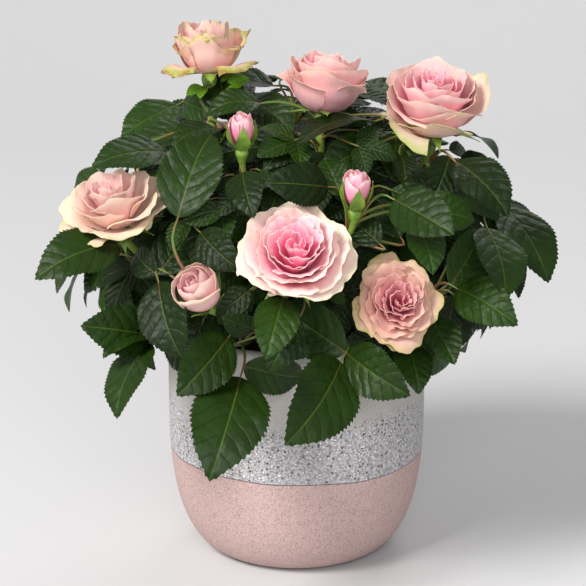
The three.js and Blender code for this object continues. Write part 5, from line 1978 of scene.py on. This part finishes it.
# %% Finish of the pot
def pot_finish():
    skin = new_material("pink_clay_and_white_glaze", paint(214, 190, 188), 0.6)
    glazed, smooth = glaze_zones(skin)
    marks = glaze_marks(skin)
    glaze = glaze_colour(skin, smooth, *marks)
    set_input(skin, "Base Color", blend(skin, glazed, clay_colour(skin), glaze))
    thick = times(skin, glazed, glaze_relief(skin, smooth, *marks))
    clay = times(skin, object_noise(skin, 1300.0), 0.3)
    add_bump(skin, math_node(skin, "ADD", thick, clay), 0.0018, 0.9)
    set_input(skin, "Roughness", spread(skin, glazed, 0.0, 1.0, 0.75, 0.45))
    return skin


pot.data.materials.append(pot_finish())
print("glaze from", GLAZE_LINE, "m up, smooth from", SMOOTH_FROM, "m")

# %% [markdown]
# ## Soil
# Damp peat fills the pot to a little below the rim. A plain disc would look like paper, so
# the top is a lumpy sheet and 1,700 crumbs lie on it, scattered by the same tree as the
# leaflets.

# %% Soil body with a lumpy top
SOIL_SIDES = 72
SOIL_RINGS = 26
SOIL_LOW = 0.6
LUMP = 0.5
SOIL_FINISH = new_material("damp_peat", paint(52, 40, 30), 0.95)
soil_colour = mottled(SOIL_FINISH, 520.0, 4.0, paint(34, 26, 20), paint(78, 60, 44))
set_input(SOIL_FINISH, "Base Color", soil_colour)
add_bump(SOIL_FINISH, object_noise(SOIL_FINISH, 900.0, 4.0), 0.001, 0.8)


def make_soil():
    inner = POT["radius"] - POT["wall"] - 0.4
    low = POT["floor"] + SOIL_LOW
    top = SOIL_TOP - SOIL_LOW
    profile = [(0.0, low), (pot_radius(low) - POT["wall"] - 0.8, low)]
    profile += [(pot_radius(z) - POT["wall"] - 0.6, z) for z in (14.0, 25.0, 40.0, 60.0, 80.0)]
    profile += [(inner, 92.0), (inner, SOIL_TOP - 1.5)]
    profile += [(inner * (1 - i / SOIL_RINGS), top) for i in range(1, SOIL_RINGS + 1)]
    vertices, faces = turned_shape(profile, vec(0, 0, 0), AXES, SOIL_SIDES)
    for p in vertices:
        if p[2] > SOIL_TOP - 1.0:
            lump = math.sin(p[0] * 0.21) * math.cos(p[1] * 0.17) + 0.6 * math.sin(p[0] * 0.5 + p[1] * 0.43)
            p[2] += LUMP * lump
    piece = mesh_object("potting_soil", [p * MM for p in vertices], faces)
    piece.data.materials.append(SOIL_FINISH)
    return piece


soil = make_soil()
print("soil has", count_triangles(soil), "triangles")

# %% Four crumbs, each a ball with its corners pushed in and out
CRUMB_FORMS = 4
CRUMB_SEED = 50


def crumb_form(number):
    dice = make_dice(CRUMB_SEED + number)
    shape = bmesh.new()
    bmesh.ops.create_icosphere(shape, subdivisions=1, radius=1.0)
    for corner in shape.verts:
        corner.co *= 0.65 + 0.6 * dice()
        corner.co.z *= 0.7
    mesh = bpy.data.meshes.new(f"crumb_{number}")
    shape.to_mesh(mesh)
    shape.free()
    return bpy.data.objects.new(f"crumb_{number}", mesh)


crumb_forms = bpy.data.collections.new("crumb_forms")
SCENE.collection.children.link(crumb_forms)
for number in range(CRUMB_FORMS):
    crumb_forms.objects.link(crumb_form(number))

# %% Scatter the crumbs over the soil
CRUMBS = 1700
CRUMB_DICE = 88

dice = make_dice(CRUMB_DICE)
places, turns, longs, forms = [], [], [], []
for i in range(CRUMBS):
    r = (POT["radius"] - POT["wall"] - 3.0) * math.sqrt((i + 0.5) / CRUMBS)
    a = math.radians(GOLDEN_ANGLE * i)
    x = r * math.cos(a) + dice() - 0.5
    y = r * math.sin(a) + dice() - 0.5
    places.append(vec(x, y, SOIL_TOP - 0.2 + dice() * 0.5))
    turns.append(Quaternion([dice() - 0.5 for _ in range(4)]).normalized())
    longs.append(0.6 + 1.1 * dice() ** 2)
    forms.append(int(dice() * CRUMB_FORMS))
crumbs = scatter("soil_crumbs", crumb_forms, places, turns, longs, forms, SOIL_FINISH, SOIL_FINISH)
clear_forms(crumb_forms)
print("soil crumbs have", count_triangles(crumbs), "triangles")

# %% [markdown]
# ## Join the looks to the frame
# Every piece rides on the one body of the frame. The solids of the pot, the soil, the stem,
# the canes and the masses are hidden, because the pieces above stand for them.

# %% Ride and replace
MASS_NODES = ["mass_" + stem["name"] for stem in STEMS]
CANE_NODES = ["cane_" + stem["name"] for stem in STEMS]
everything = [(pot, "pot"), (soil, "soil"), (crumbs, "soil"), (woody_stem, "bark"), (canes, "cane"),
              (prickles, "cane"), (leaf_stalks, "foliage"), (sepals, "foliage")]
everything += [(piece, "foliage") for piece in leaf_pieces]
everything += [(piece, "foliage") for piece in flower_pieces.values()]
for piece, slot_name in everything:
    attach(piece, "root")
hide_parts("pot")
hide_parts("soil")
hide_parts("main_stem")
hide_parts(*CANE_NODES)
for piece in leaf_pieces:
    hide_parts(*MASS_NODES)
print(len(everything), "pieces,", sum(count_triangles(piece) for piece, _ in everything), "triangles")

# %% Finish
bpy.context.scene.view_settings.view_transform = "Standard"
bpy.context.view_layer.update()
